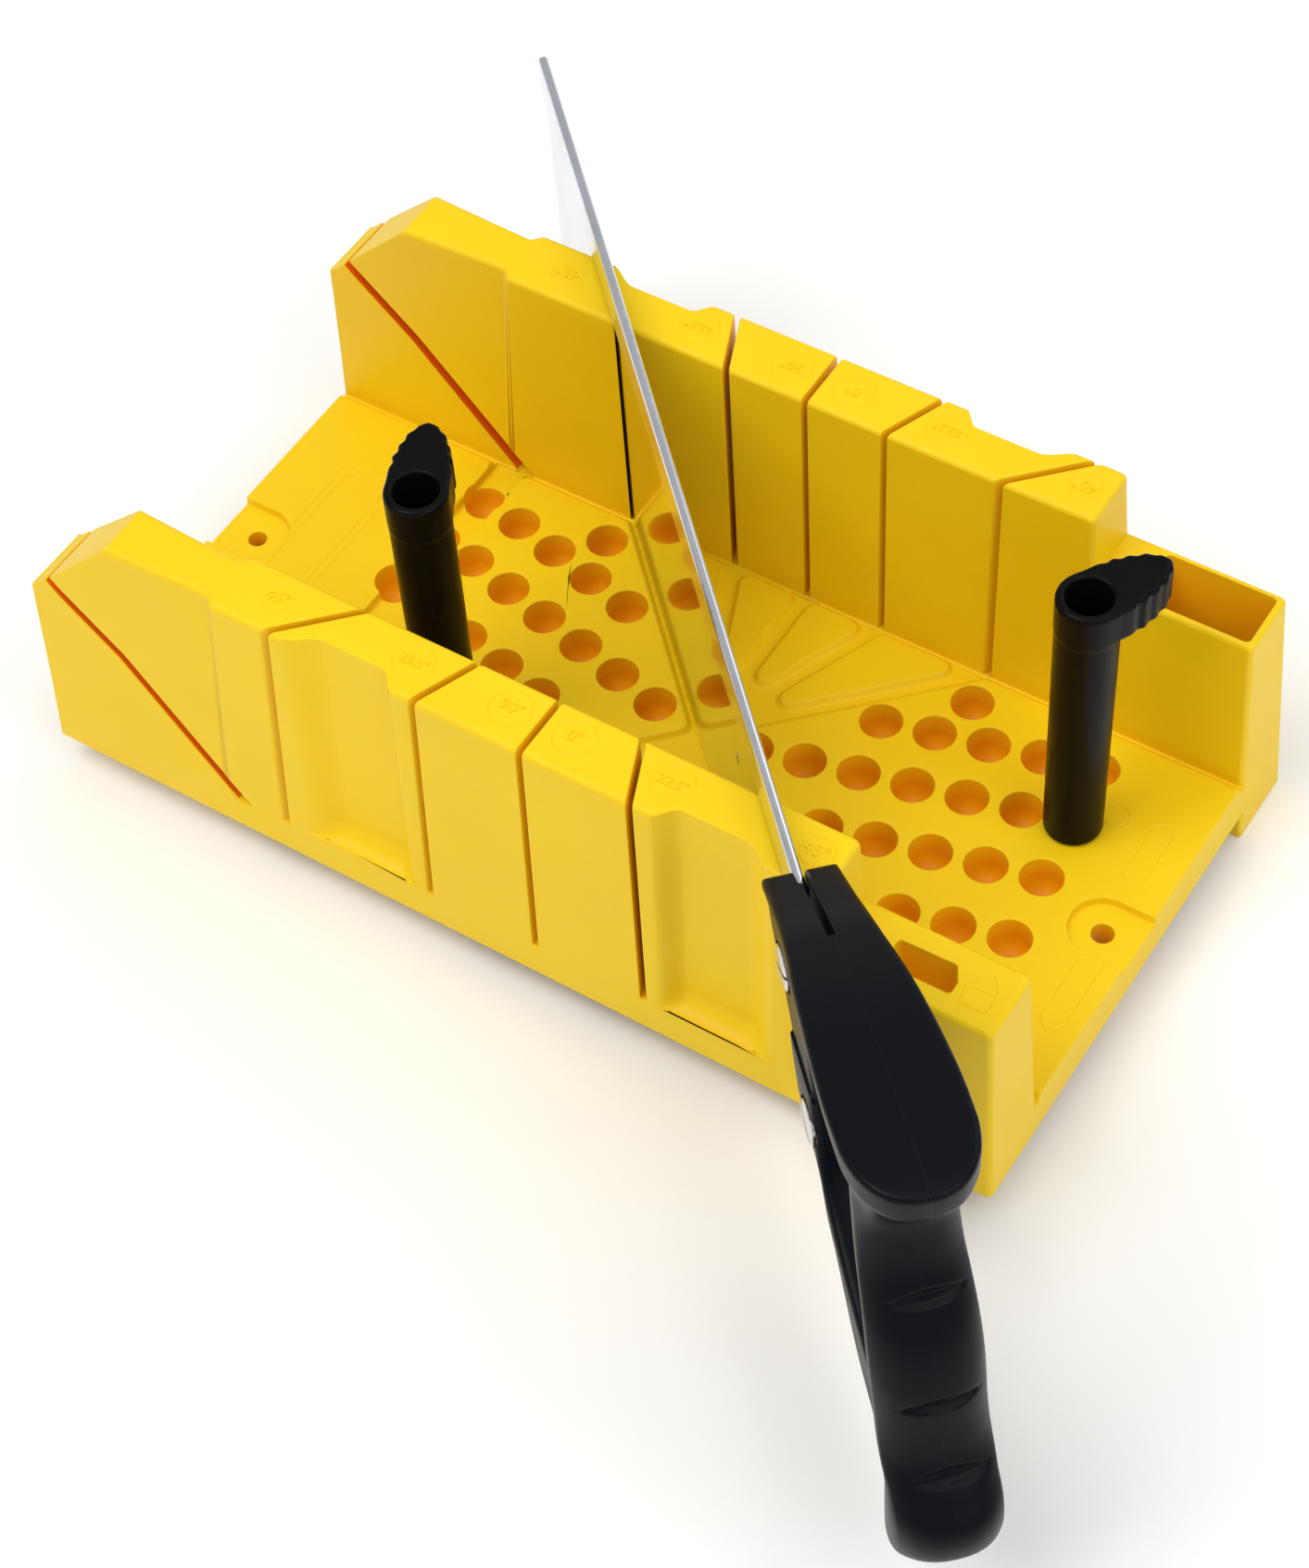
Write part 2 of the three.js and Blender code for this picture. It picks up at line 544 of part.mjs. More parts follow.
function sawHandle() {
  const rimUnder = handleTop.map((point) => [point.x + RIM_LEAN, point.y - HANDLE_RIM]).reverse();
  const rimTop = handleTop.map((point) => [point.x, point.y]);
  const rimSide = points([...rimTop, ...rimNose, ...rimUnder]);
  const rimPlan = [...topPlan, ...topPlan.map((point) => new THREE.Vector2(point.x, -point.y)).reverse()];
  const rim = solid(plate(rimSide, -PAST, PAST)).intersect(solid(prism(rimPlan, 0, PAST)));
  const web = solid(plate(smooth(handleSide, OUTLINE_STEPS), -WEB_HALF, WEB_HALF));
  const body = [web, ...grip().map(solid), rim].reduce((sum, next) => sum.add(next));
  const bladeGap = BLADE_THICKNESS / 2 + CLEAR;
  const spineGap = SPINE.half + CLEAR;
  const spineEnd = SPINE.x1 + CLEAR;
  const spineSlot = points([
    [0, SPINE.bottom - CLEAR], [spineEnd, SPINE.bottom - CLEAR], [spineEnd, PAST], [0, PAST],
  ]);
  const bladeSlot = points([
    [0, 0], [HEEL.foot + CLEAR, 0], [HEEL.foot + CLEAR, HEEL.low], [HEEL.shoulder + CLEAR, HEEL.high],
    [HEEL.shoulder + CLEAR, SPINE.bottom + OVERLAP], [0, SPINE.bottom + OVERLAP],
  ]);
  const cutters = [
    plate(smooth(handOpening, OPENING_STEPS), -PAST, PAST),
    plate(bladeSlot, -bladeGap, bladeGap),
    plate(spineSlot, -spineGap, spineGap),
  ];
  Object.values(SCREW_CENTRES).forEach((centre) => {
    const seat = SCREW.head + CLEAR;
    const floorY = WEB_HALF - SCREW.sunk;
    cutters.push(crossRod(SCREW.barrel + CLEAR, -PAST, PAST, centre));
    cutters.push(crossRod(seat, -PAST, -floorY, centre));
    cutters.push(crossRod(seat, floorY, PAST, centre));
  });
  return cut(body, cutters);
}

// Screw: its head on the near-left face and its shank through the web.
function handleScrew(centre) {
  const under = -(WEB_HALF - SCREW.sunk + CLEAR);
  return union([
    crossRod(SCREW.head, under - SCREW.headHeight, under, centre),
    crossRod(SCREW.shank, under - OVERLAP, WEB_HALF - SCREW.sunk, centre, SMALL),
  ]);
}

// Sleeve nut: a matching head on the other face with a barrel over the end of the shank.
function handleNut(centre) {
  const under = WEB_HALF - SCREW.sunk + CLEAR;
  const body = union([
    crossRod(SCREW.head, under, under + SCREW.headHeight, centre),
    crossRod(SCREW.barrel, under - SCREW.barrelLength, under + OVERLAP, centre, SMALL),
  ]);
  const bore = crossRod(SCREW.shank + CLEAR, under - SCREW.barrelLength - OVERLAP, under, centre, SMALL);
  return cut(body, [bore]);
}

function onSaw(name, body, material) {
  const geometry = body.isBufferGeometry ? body : toGeometry(body);
  return finish(name, geometry.rotateZ(SAW_TURN), material);
}

// ---------------------------------------------------------------- assembly
const mitreBoxSaw = new THREE.Group();
mitreBoxSaw.name = 'mitre_box_saw';
mitreBoxSaw.add(
  finish('box_body', boxBody(), yellowPlastic),
  placedPost('cam_post_right', 2, 6, 1, 60.5),
  placedPost('cam_post_left', 4, 0, -1, 116.5),
  onSaw('saw_blade', sawBlade(), polishedSteel),
  onSaw('saw_back', sawBack(), foldedSteel),
  onSaw('saw_handle', sawHandle(), handlePlastic),
  onSaw('handle_screw_front', handleScrew(SCREW_CENTRES.front), zincSteel),
  onSaw('handle_nut_front', handleNut(SCREW_CENTRES.front), zincSteel),
  onSaw('handle_screw_rear', handleScrew(SCREW_CENTRES.rear), zincSteel),
  onSaw('handle_nut_rear', handleNut(SCREW_CENTRES.rear), zincSteel),
);

export default mitreBoxSaw;
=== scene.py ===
from math import acos, cos, pi, radians, sin, sqrt, tan

import bmesh
import bpy
import numpy as np
from mathutils import Matrix, Vector


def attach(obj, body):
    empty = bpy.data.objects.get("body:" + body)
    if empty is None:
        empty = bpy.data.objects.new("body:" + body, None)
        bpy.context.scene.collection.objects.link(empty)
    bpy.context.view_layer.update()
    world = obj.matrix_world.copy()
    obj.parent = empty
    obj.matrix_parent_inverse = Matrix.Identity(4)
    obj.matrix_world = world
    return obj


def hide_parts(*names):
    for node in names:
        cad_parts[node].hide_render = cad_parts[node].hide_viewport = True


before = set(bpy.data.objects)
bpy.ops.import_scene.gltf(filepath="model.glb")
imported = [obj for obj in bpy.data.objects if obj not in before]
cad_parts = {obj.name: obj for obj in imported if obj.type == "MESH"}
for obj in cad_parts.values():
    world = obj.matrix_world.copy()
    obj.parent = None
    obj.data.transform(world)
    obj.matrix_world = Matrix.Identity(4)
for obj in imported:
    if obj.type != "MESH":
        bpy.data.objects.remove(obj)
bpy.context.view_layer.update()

MM = 0.001

# ---- sizes shared with the CAD part, millimetres
BENCH = 0
LIP_BOTTOM = -11  # the lip under the far fence hooks over the bench's edge
LIP_FACE = 60.4  # its upright face
FLOOR_TOP = 14  # tops of the pads
GROOVE_FLOOR = 12  # floor between the pads
FLOOR_UNDER = 9.8
LOW_TOP = 70  # top of the low blocks at the right end
FENCE_TOP = 94
CHANNEL_HALF = 61  # inner and outer faces of the fences, at their tops
FENCE_OUTER = 81.2
WALL = 2.5
LEFT_END = -165
RIGHT_END = 139
MAIN_LEFT = -98.5  # ends of the fences' full-width part, at their tops
MAIN_RIGHT = 90
BLOCK_INSET = 3  # the left blocks' faces stand back this far at the top of their step
BLOCK_CORNER = 29  # length of their cut-off upper corners
BLOCK_SHOULDER = 66  # and the height where those begin
INNER_DRAFT = 0.0095  # lean of each kind of face per millimetre of height
OUTER_DRAFT = 0.045
END_DRAFT = 0.05
SAW_ANGLE = 45
SLOT_ANGLES = (45, 22.5, 0, -22.5, -45)
KERF = 1.8
GROOVE = 6  # width between two wedge pads
BEVEL_FOOT = -102  # where a bevel kerf's middle plane meets the tops of the pads
BEVEL_GROOVE = (-110, -99)
BEVEL_GROOVE_FLOOR = 11
HOLE_RADIUS = 6.2
SLEEVE_RADIUS = 7.7
SLEEVE_FLOOR = 1.5
HOLE_STEP = (15.33, 3.85)  # from one hole of a row to the next
HOLE_ROWS = ((62.3, 48.3, 1), (43.1, 29.4, 5), (16.2, 2.4, 7), (47.4, -11.6, 5), (65.0, -30.0, 4))
SAW_TURN = Matrix.Rotation(radians(-SAW_ANGLE), 4, "Z")
PAST = 1  # how far a cut runs on past the face that it opens


# ---- mesh helpers
def add_object(name, data):
    """New object in the scene."""
    thing = bpy.data.objects.new(name, data)
    bpy.context.scene.collection.objects.link(thing)
    return thing


def add_mesh(name, verts, faces):
    mesh = bpy.data.meshes.new(name)
    mesh.from_pydata([tuple(v) for v in verts], [], faces)
    mesh.update()
    return add_object(name, mesh)


def rings_to_solid(name, rings, closed=False):
    """Skin between rings of points; the ends are capped, or joined to each other when closed."""
    count = len(rings[0])
    verts = [point for ring in rings for point in ring]
    faces = []
    for level in range(len(rings) if closed else len(rings) - 1):
        low = level * count
        high = ((level + 1) % len(rings)) * count
        for i in range(count):
            j = (i + 1) % count
            faces.append((low + i, low + j, high + j, high + i))
    if not closed:
        faces.append(tuple(reversed(range(count))))
        faces.append(tuple(range(len(verts) - count, len(verts))))
    piece = add_mesh(name, verts, faces)
    mesh = bmesh.new()
    mesh.from_mesh(piece.data)
    bmesh.ops.recalc_face_normals(mesh, faces=mesh.faces)
    mesh.to_mesh(piece.data)
    mesh.free()
    return piece


def loft(outline_at, *heights):
    """Upright solid whose outline at a height z is outline_at(z)."""
    return rings_to_solid("loft", [[(x, y, z) for x, y in outline_at(z)] for z in heights])


def prism(outline, z0, z1):
    return loft(lambda z: outline, z0, z1)


def slab(outline, y0, y1):
    """Solid over an outline in X and Z, from y0 to y1."""
    return rings_to_solid("slab", [[(x, y, z) for x, z in outline] for y in (y0, y1)])


def box_solid(x0, x1, y0, y1, z0, z1):
    return prism([(x0, y0), (x1, y0), (x1, y1), (x0, y1)], z0, z1)


def circle(x, y, radius, sides=36):
    turns = [2 * pi * i / sides for i in range(sides)]
    return [(x + radius * cos(turn), y + radius * sin(turn)) for turn in turns]


def rod(x, y, radius, z0, z1, sides=36):
    return prism(circle(x, y, radius, sides), z0, z1)


def cross_rod(x, z, radius, y0, y1, sides=36):
    return slab(circle(x, z, radius, sides), y0, y1)


def area(outline):
    closed = list(outline[1:]) + [outline[0]]
    return sum(a[0] * b[1] - b[0] * a[1] for a, b in zip(outline, closed)) / 2


def inset(outline, distance):
    """Moves every side of a convex outline inwards, or outwards by a negative distance."""
    ring = [Vector(p) for p in (outline if area(outline) > 0 else reversed(outline))]
    count = len(ring)
    sides = []
    for i, start in enumerate(ring):
        along = (ring[(i + 1) % count] - start).normalized()
        sides.append((start + Vector((-along.y, along.x)) * distance, along))
    result = []
    for i, (start, along) in enumerate(sides):
        before, heading = sides[i - 1]
        gap = start - before
        travel = (gap.x * along.y - gap.y * along.x) / (heading.x * along.y - heading.y * along.x)
        result.append(tuple(before + heading * travel))
    return result


def rounded(outline, radius, steps=6):
    """The outline with its corners turned into arcs of one radius, or of the radii in a list."""
    radii = radius if isinstance(radius, (list, tuple)) else [radius] * len(outline)
    result = []
    count = len(outline)
    for i, corner in enumerate(outline):
        here = Vector(corner)
        back = (Vector(outline[i - 1]) - here).normalized()
        ahead = (Vector(outline[(i + 1) % count]) - here).normalized()
        half = acos(max(-1, min(1, back.dot(ahead)))) / 2
        if radii[i] <= 0 or half > radians(89):
            result.append(tuple(here))
            continue
        centre = here + (back + ahead).normalized() * radii[i] / sin(half)
        start = here + back * radii[i] / tan(half) - centre
        sweep = pi - 2 * half
        sign = 1 if start.x * (here - centre).y - start.y * (here - centre).x > 0 else -1
        for k in range(steps + 1):
            turn = sign * sweep * k / steps
            result.append(tuple(centre + Matrix.Rotation(turn, 2) @ start))
    return result


def combine(base, joined=(), within=(), cut=()):
    """Boolean union, intersection and difference; base gets the result and the other pieces are used up."""
    operands = [(piece, "UNION") for piece in joined] + [(piece, "INTERSECT") for piece in within]
    operands += [(piece, "DIFFERENCE") for piece in cut]
    for piece, operation in operands:
        modifier = base.modifiers.new(operation, "BOOLEAN")
        modifier.object = piece
        modifier.operation = operation
        modifier.solver = "MANIFOLD"
    apply_modifiers(base)
    for piece, _ in operands:
        bpy.data.objects.remove(piece)
    return base


def apply_modifiers(piece):
    bpy.context.view_layer.update()
    evaluated = piece.evaluated_get(bpy.context.evaluated_depsgraph_get())
    mesh = bpy.data.meshes.new_from_object(evaluated)
    piece.modifiers.clear()
    old = piece.data
    piece.data = mesh
    bpy.data.meshes.remove(old)


MERGE_DISTANCE = 0.01
FLAT_WITHIN = radians(0.6)  # faces that lean apart by less than this are merged
FOLDED_OVER = -0.9  # cosine between two faces, below which one lies back over the other


def round_edges(piece, width, segments=2, angle=28):
    """Merges coplanar faces, cuts them into clean triangles and bevels every edge sharper than the angle."""
    mesh = bmesh.new()
    mesh.from_mesh(piece.data)
    bmesh.ops.remove_doubles(mesh, verts=mesh.verts, dist=MERGE_DISTANCE)
    bmesh.ops.dissolve_limit(mesh, angle_limit=FLAT_WITHIN, verts=mesh.verts, edges=mesh.edges)
    bmesh.ops.triangulate(mesh, faces=mesh.faces)
    mesh.to_mesh(piece.data)
    mesh.free()
    bevel = piece.modifiers.new("bevel", "BEVEL")
    bevel.limit_method = "ANGLE"
    bevel.angle_limit = radians(angle)
    bevel.width = width
    bevel.segments = segments
    bevel.use_clamp_overlap = False
    bevel.loop_slide = False
    bevel.miter_outer = "MITER_ARC"
    apply_modifiers(piece)
    unfold(piece)


def unfold(piece, rounds=4):
    """Swaps the long edge of each thin triangle that the bevel has folded back over its neighbour."""
    mesh = bmesh.new()
    mesh.from_mesh(piece.data)
    for _ in range(rounds):
        mesh.normal_update()
        folded = {}
        for face in mesh.faces:
            edge = max(face.edges, key=lambda side: side.calc_length())
            sides = edge.link_faces
            if len(sides) == 2 and len(sides[0].verts) == len(sides[1].verts) == 3:
                if sides[0].normal.dot(sides[1].normal) < FOLDED_OVER:
                    folded[edge.index] = edge
        for edge in folded.values():
            if edge.is_valid:
                bmesh.utils.edge_rotate(edge)
        mesh.edges.index_update()
    mesh.to_mesh(piece.data)
    mesh.free()


# ---- rounded bodies from distance fields
def spline(points, closed=False, steps=8):
    """Smooth line through a few points."""
    knots = np.array(points, float)
    if closed:
        padded = np.vstack([knots[-1:], knots, knots[:2]])
    else:
        padded = np.vstack([2 * knots[:1] - knots[1:2], knots, 2 * knots[-1:] - knots[-2:-1]])
    t = np.linspace(0, 1, steps, endpoint=False)[:, None]
    spans = []
    for a, b, c, d in zip(padded, padded[1:], padded[2:], padded[3:]):
        spans.append(b + t * ((c - a) + t * ((2 * a - 5 * b + 4 * c - d) + t * (3 * b - a - 3 * c + d))) / 2)
    return np.vstack(spans if closed else spans + [knots[-1:]])


def along(points, value):
    """Second coordinate of the smooth line where its first is the value."""
    line = spline(points)
    return np.interp(value, line[:, 0], line[:, 1])


def outline_distance(u, v, outline):
    """Distance to a closed outline, negative inside it."""
    u, v = np.broadcast_arrays(u, v)
    nearest = np.full(u.shape, np.inf)
    inside = np.zeros(u.shape, bool)
    for (au, av), (bu, bv) in zip(outline, np.roll(outline, -1, axis=0)):
        du, dv = bu - au, bv - av
        t = np.clip(((u - au) * du + (v - av) * dv) / (du * du + dv * dv), 0, 1)
        nearest = np.minimum(nearest, (u - au - t * du) ** 2 + (v - av - t * dv) ** 2)
        if dv:
            inside ^= ((av > v) != (bv > v)) & (u < au + (v - av) * du / dv)
    return np.where(inside, -1, 1) * np.sqrt(nearest)


def soft_min(a, b, blend):
    """Union of two fields, blended together within a distance."""
    overlap = np.maximum(blend - abs(a - b), 0) / blend
    return np.minimum(a, b) - overlap ** 2 * blend / 4


def soft_max(a, b, blend):
    return -soft_min(-a, -b, blend)


NET_ROUNDS = 3  # steps that draw a net's corners onto its surface
SLOPE_REACH = 0.05  # distance over which a field's slope is taken
LEAST_SLOPE = 0.2  # keeps a step short where the field is nearly level


def surface_net(field, low, high, step):
    """Quads around a field's zero surface, with every corner drawn onto the surface."""
    axes = [np.arange(start, stop, step) for start, stop in zip(low, high)]
    value = field(*np.meshgrid(*axes, indexing="ij", sparse=True))
    stride = (value.shape[1] * value.shape[2], value.shape[2], 1)
    total = np.zeros((value.size, 3))
    hits = np.zeros(value.size)
    quads = []
    for axis in range(3):
        first = np.take(value, range(value.shape[axis] - 1), axis)
        second = np.take(value, range(1, value.shape[axis]), axis)
        place = np.nonzero((first < 0) != (second < 0))
        start, end = first[place], second[place]
        crossing = np.stack([line[i] for line, i in zip(axes, place)], 1)
        crossing[:, axis] += step * start / (start - end)
        node = sum(i * s for i, s in zip(place, stride))
        u, v = stride[(axis + 1) % 3], stride[(axis + 2) % 3]
        cells = np.stack([node, node - u, node - u - v, node - v], 1)
        for corner in range(4):
            np.add.at(total, cells[:, corner], crossing)
            np.add.at(hits, cells[:, corner], 1)
        quads.append(np.where((start < 0)[:, None], cells, cells[:, ::-1]))
    used = hits > 0
    index = np.cumsum(used) - 1
    points = total[used] / hits[used][:, None]
    offsets = np.eye(3) * SLOPE_REACH
    for _ in range(NET_ROUNDS):
        here = field(*points.T)
        slope = np.stack([(field(*(points + offset).T) - here) / SLOPE_REACH for offset in offsets], 1)
        points -= slope * (here / np.maximum((slope ** 2).sum(1), LEAST_SLOPE))[:, None]
    return add_mesh("net", points.tolist(), index[np.vstack(quads)].tolist())


def finish(piece, name, material, body, *nodes, turn=None, angle=35, slot=None, flat=True):
    """Names a piece, turns it into place in metres, gives it its material and sets it on its body."""
    piece.name = name
    piece.data.name = name
    if turn:
        piece.data.transform(turn)
    piece.data.transform(Matrix.Scale(MM, 4))
    piece.data.materials.clear()
    piece.data.materials.append(material)
    piece.data.shade_smooth()
    piece.data.set_sharp_from_angle(angle=radians(angle))
    if flat:
        weighted = piece.modifiers.new("weighted", "WEIGHTED_NORMAL")
        weighted.keep_sharp = True
        apply_modifiers(piece)
    if nodes:
        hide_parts(*nodes)
    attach(piece, body)
    return piece


# ---- materials
def set_inputs(node, values):
    for name, value in values.items():
        node.inputs[name].default_value = value


def start_material(name):
    material = bpy.data.materials.new(name)
    material.use_nodes = True
    tree = material.node_tree
    shader = tree.nodes["Principled BSDF"]
    place = tree.nodes.new("ShaderNodeTexCoord")
    return material, tree, shader, place.outputs["Object"]


def noise(tree, place, scale, detail=3.0, roughness=0.5, stretch=None):
    """Noise in space; stretch scales it along and across the saw."""
    node = tree.nodes.new("ShaderNodeTexNoise")
    set_inputs(node, {"Scale": scale, "Detail": detail, "Roughness": roughness})
    if stretch:
        mapping = tree.nodes.new("ShaderNodeMapping")
        set_inputs(mapping, {"Rotation": (0, 0, radians(SAW_ANGLE)), "Scale": stretch})
        tree.links.new(place, mapping.inputs["Vector"])
        place = mapping.outputs["Vector"]
    tree.links.new(place, node.inputs["Vector"])
    return node.outputs["Fac"]


def remap(tree, value, low, high, start=0.3, end=0.7):
    node = tree.nodes.new("ShaderNodeMapRange")
    set_inputs(node, {"From Min": start, "From Max": end, "To Min": low, "To Max": high})
    tree.links.new(value, node.inputs["Value"])
    return node.outputs["Result"]


def blend_colours(tree, value, first, second):
    node = tree.nodes.new("ShaderNodeMix")
    node.data_type = "RGBA"
    node.inputs["A"].default_value = (*first, 1)
    node.inputs["B"].default_value = (*second, 1)
    tree.links.new(value, node.inputs["Factor"])
    return node.outputs["Result"]


def bump(tree, shader, height, strength, distance):
    """Adds a bump on top of those that the shader already has."""
    node = tree.nodes.new("ShaderNodeBump")
    set_inputs(node, {"Strength": strength, "Distance": distance})
    tree.links.new(height, node.inputs["Height"])
    for link in shader.inputs["Normal"].links:
        tree.links.new(link.from_socket, node.inputs["Normal"])
    tree.links.new(node.outputs["Normal"], shader.inputs["Normal"])


GRAIN_STRENGTH = 0.25
SEAM = (0.0001, 0.0003)  # where the moulding seam's ridge starts and ends, from the middle plane


def plastic(name, colour, darker, roughness, grain, depth, gloss_level, seam=False):
    """Moulded plastic: a fine spark-eroded grain, patchy gloss and a slight drift of colour."""
    material, tree, shader, place = start_material(name)
    patches = remap(tree, noise(tree, place, 22, 4), 0, 1)
    tree.links.new(blend_colours(tree, patches, darker, colour), shader.inputs["Base Color"])
    gloss = noise(tree, place, 60, 5, 0.6)
    tree.links.new(remap(tree, gloss, roughness - 0.05, roughness + 0.06), shader.inputs["Roughness"])
    bump(tree, shader, noise(tree, place, grain, 2), GRAIN_STRENGTH, depth)
    set_inputs(shader, {"Specular IOR Level": gloss_level})
    if seam:
        ridge = remap(tree, across_saw(tree, place), 1, 0, *SEAM)
        bump(tree, shader, ridge, 0.6, 0.0001)
    return material


def across_saw(tree, place):
    """Distance from the saw's middle plane, in metres."""
    dot = tree.nodes.new("ShaderNodeVectorMath")
    dot.operation = "DOT_PRODUCT"
    dot.inputs[1].default_value = (sqrt(0.5), sqrt(0.5), 0)
    tree.links.new(place, dot.inputs[0])
    size = tree.nodes.new("ShaderNodeMath")
    size.operation = "ABSOLUTE"
    tree.links.new(dot.outputs["Value"], size.inputs[0])
    return size.outputs["Value"]


PAINTED_SHADE_LEVELS = (0.004, 0.0135)  # heights between which a cavity's painted shade turns from its low colour to its high one


def painted_shade_plastic(name, low, high):
    """The same moulding in its holes and kerfs, with painted shade: the orange of light bounced about in them
    is painted into its colour, which changes with height.
    """
    material, tree, shader, place = start_material(name)
    split = tree.nodes.new("ShaderNodeSeparateXYZ")
    tree.links.new(place, split.inputs["Vector"])
    height = remap(tree, split.outputs["Z"], 0, 1, *PAINTED_SHADE_LEVELS)
    tree.links.new(blend_colours(tree, height, low, high), shader.inputs["Base Color"])
    bump(tree, shader, noise(tree, place, 2600, 2), GRAIN_STRENGTH, 0.00003)
    set_inputs(shader, {"Roughness": 0.45, "Specular IOR Level": 0.2})
    return material


def steel(name, colour, roughness, stretch, strength):
    """Bright steel with fine marks drawn along the saw."""
    material, tree, shader, place = start_material(name)
    marks = noise(tree, place, 900, 4, 0.6, stretch)
    clouds = remap(tree, noise(tree, place, 35, 4), 0, 1)
    darker = tuple(0.86 * c for c in colour)
    tree.links.new(blend_colours(tree, clouds, darker, colour), shader.inputs["Base Color"])
    tree.links.new(remap(tree, marks, roughness * 0.7, roughness * 1.35), shader.inputs["Roughness"])
    bump(tree, shader, marks, strength, 0.00002)
    set_inputs(shader, {"Metallic": 1.0})
    return material


yellow = plastic("yellow_moulding", (0.93, 0.63, 0.006), (0.9, 0.6, 0.005), 0.42, 2600, 0.00003, 0.22)
# painted shade: the holes, bin and pocket get a darker orange and the kerfs a deeper one, standing in for the
# shade and bounced light inside them
cavity_painted_shade = painted_shade_plastic("yellow_cavity_painted_shade", (0.9, 0.42, 0.003), (0.95, 0.56, 0.006))
kerf_painted_shade = painted_shade_plastic("yellow_kerf_painted_shade", (0.85, 0.2, 0.002), (0.8, 0.13, 0.001))
black = plastic("black_moulding", (0.004, 0.0035, 0.0038), (0.003, 0.0026, 0.0028), 0.3, 2600, 0.00002, 0.08)
black_grip = plastic("black_handle", (0.003, 0.0038, 0.006), (0.0022, 0.003, 0.005), 0.33, 2200, 0.00003, 0.1,
                     seam=True)
mirror_steel = steel("polished_blade", (0.72, 0.73, 0.745), 0.07, (0.04, 1, 1), 0.02)
back_steel = steel("folded_back", (0.84, 0.87, 0.93), 0.2, (0.03, 1, 1), 0.04)
zinc = steel("zinc_screws", (0.78, 0.78, 0.78), 0.28, (1, 1, 1), 0.2)


# ---- mitre box
def inner_face(z):
    return CHANNEL_HALF - INNER_DRAFT * (FENCE_TOP - z)


def outer_face(z):
    return FENCE_OUTER + OUTER_DRAFT * (FENCE_TOP - z)


def left_end(z):
    return LEFT_END - END_DRAFT * (LOW_TOP - z)


def right_end(z):
    return RIGHT_END + END_DRAFT * (LOW_TOP - z)


def left_step(z):
    return MAIN_LEFT - END_DRAFT * (FENCE_TOP - z)


def right_step(z):
    return MAIN_RIGHT + END_DRAFT * (FENCE_TOP - z)


def block_inset(z):
    """How far a left block's faces stand back at its step: nothing at the floor, all of it at the top."""
    return BLOCK_INSET * max(0, z - FLOOR_TOP) / (FENCE_TOP - FLOOR_TOP)


def band(side, x0, x1, near, far):
    """Plan of a bar along X; side -1 is the near fence, nearest to the camera, and 1 the far one."""
    return [(x0, side * near), (x1, side * near), (x1, side * far), (x0, side * far)]


def slot_x(angle, y):
    return y * tan(radians(angle))


def foot_of(side):
    return LIP_BOTTOM if side > 0 else BENCH


def slot_slab(angle, width, reach, z0, z1):
    piece = box_solid(-width / 2, width / 2, -reach, reach, z0, z1)
    piece.data.transform(Matrix.Rotation(-radians(angle), 4, "Z"))
    return piece


def hole_centres():
    """Peg holes in slanting rows on the right, and their mirror image on the left."""
    right = [(x + i * HOLE_STEP[0], y + i * HOLE_STEP[1]) for x, y, count in HOLE_ROWS for i in range(count)]
    return right + [(-x, y) for x, y in right]


TOP_ROUND = 1.7  # radius of a fence's top edges
CORNER_ROUND = 1.8  # radius of its upright corners
ROLL_STEPS = 6


def roll(z, top):
    """How far a face has drawn in at a height z under a rounded top edge."""
    rise = max(0, z - top + TOP_ROUND)
    return TOP_ROUND - sqrt(max(0, TOP_ROUND ** 2 - rise ** 2))


def roll_levels(top):
    return [top - TOP_ROUND * (1 - sin(pi / 2 * k / ROLL_STEPS)) for k in range(ROLL_STEPS + 1)]


STEP_RAMP = 4  # width in plan of the soft step between a left block and its fence
RAMP_STEPS = 5


def fence_outline(side, z):
    """Plan of a fence with its left block, whose faces draw in from the end towards a soft step."""
    near, far = inner_face(z) + roll(z, FENCE_TOP), outer_face(z) - roll(z, FENCE_TOP)
    start, end = left_step(z), right_step(z) - roll(z, FENCE_TOP)
    ramp = [(left_end(z), 0)]
    for k in range(RAMP_STEPS + 1):
        step = block_inset(z) * (1 + cos(pi * k / RAMP_STEPS)) / 2
        ramp.append((start - STEP_RAMP * (1 - k / RAMP_STEPS), step))
    corners = [(start, near), (end, near), (end, far), (start, far)]
    outline = [(x, near + step) for x, step in ramp]
    outline += rounded(corners, [0, CORNER_ROUND, CORNER_ROUND, 0], 5)[1:-1]
    outline += [(x, far - step) for x, step in reversed(ramp)]
    return [(x, side * y) for x, y in outline]


def low_outline(side, z):
    """Plan of a low block at the right end, which starts inside its fence."""
    draw = roll(z, LOW_TOP)
    corners = band(side, 0, right_end(z) - draw, inner_face(z) + draw, outer_face(z) - draw)
    return rounded(corners, [0, CORNER_ROUND, CORNER_ROUND, 0], 5)


def fence_solids(side):
    foot = foot_of(side)
    return [
        loft(lambda z: fence_outline(side, z), foot, FLOOR_TOP, *roll_levels(FENCE_TOP)),
        loft(lambda z: low_outline(side, z), foot, *roll_levels(LOW_TOP)),
    ]


def block_corner():
    """The cut-off upper corners of both left blocks."""
    beyond, above = LEFT_END - 10, FENCE_TOP + 5
    end = LEFT_END + BLOCK_CORNER
    outline = [(beyond, BLOCK_SHOULDER), (LEFT_END, BLOCK_SHOULDER), (end, FENCE_TOP), (end, above),
               (beyond, above)]
    return slab(outline, -100, 100)


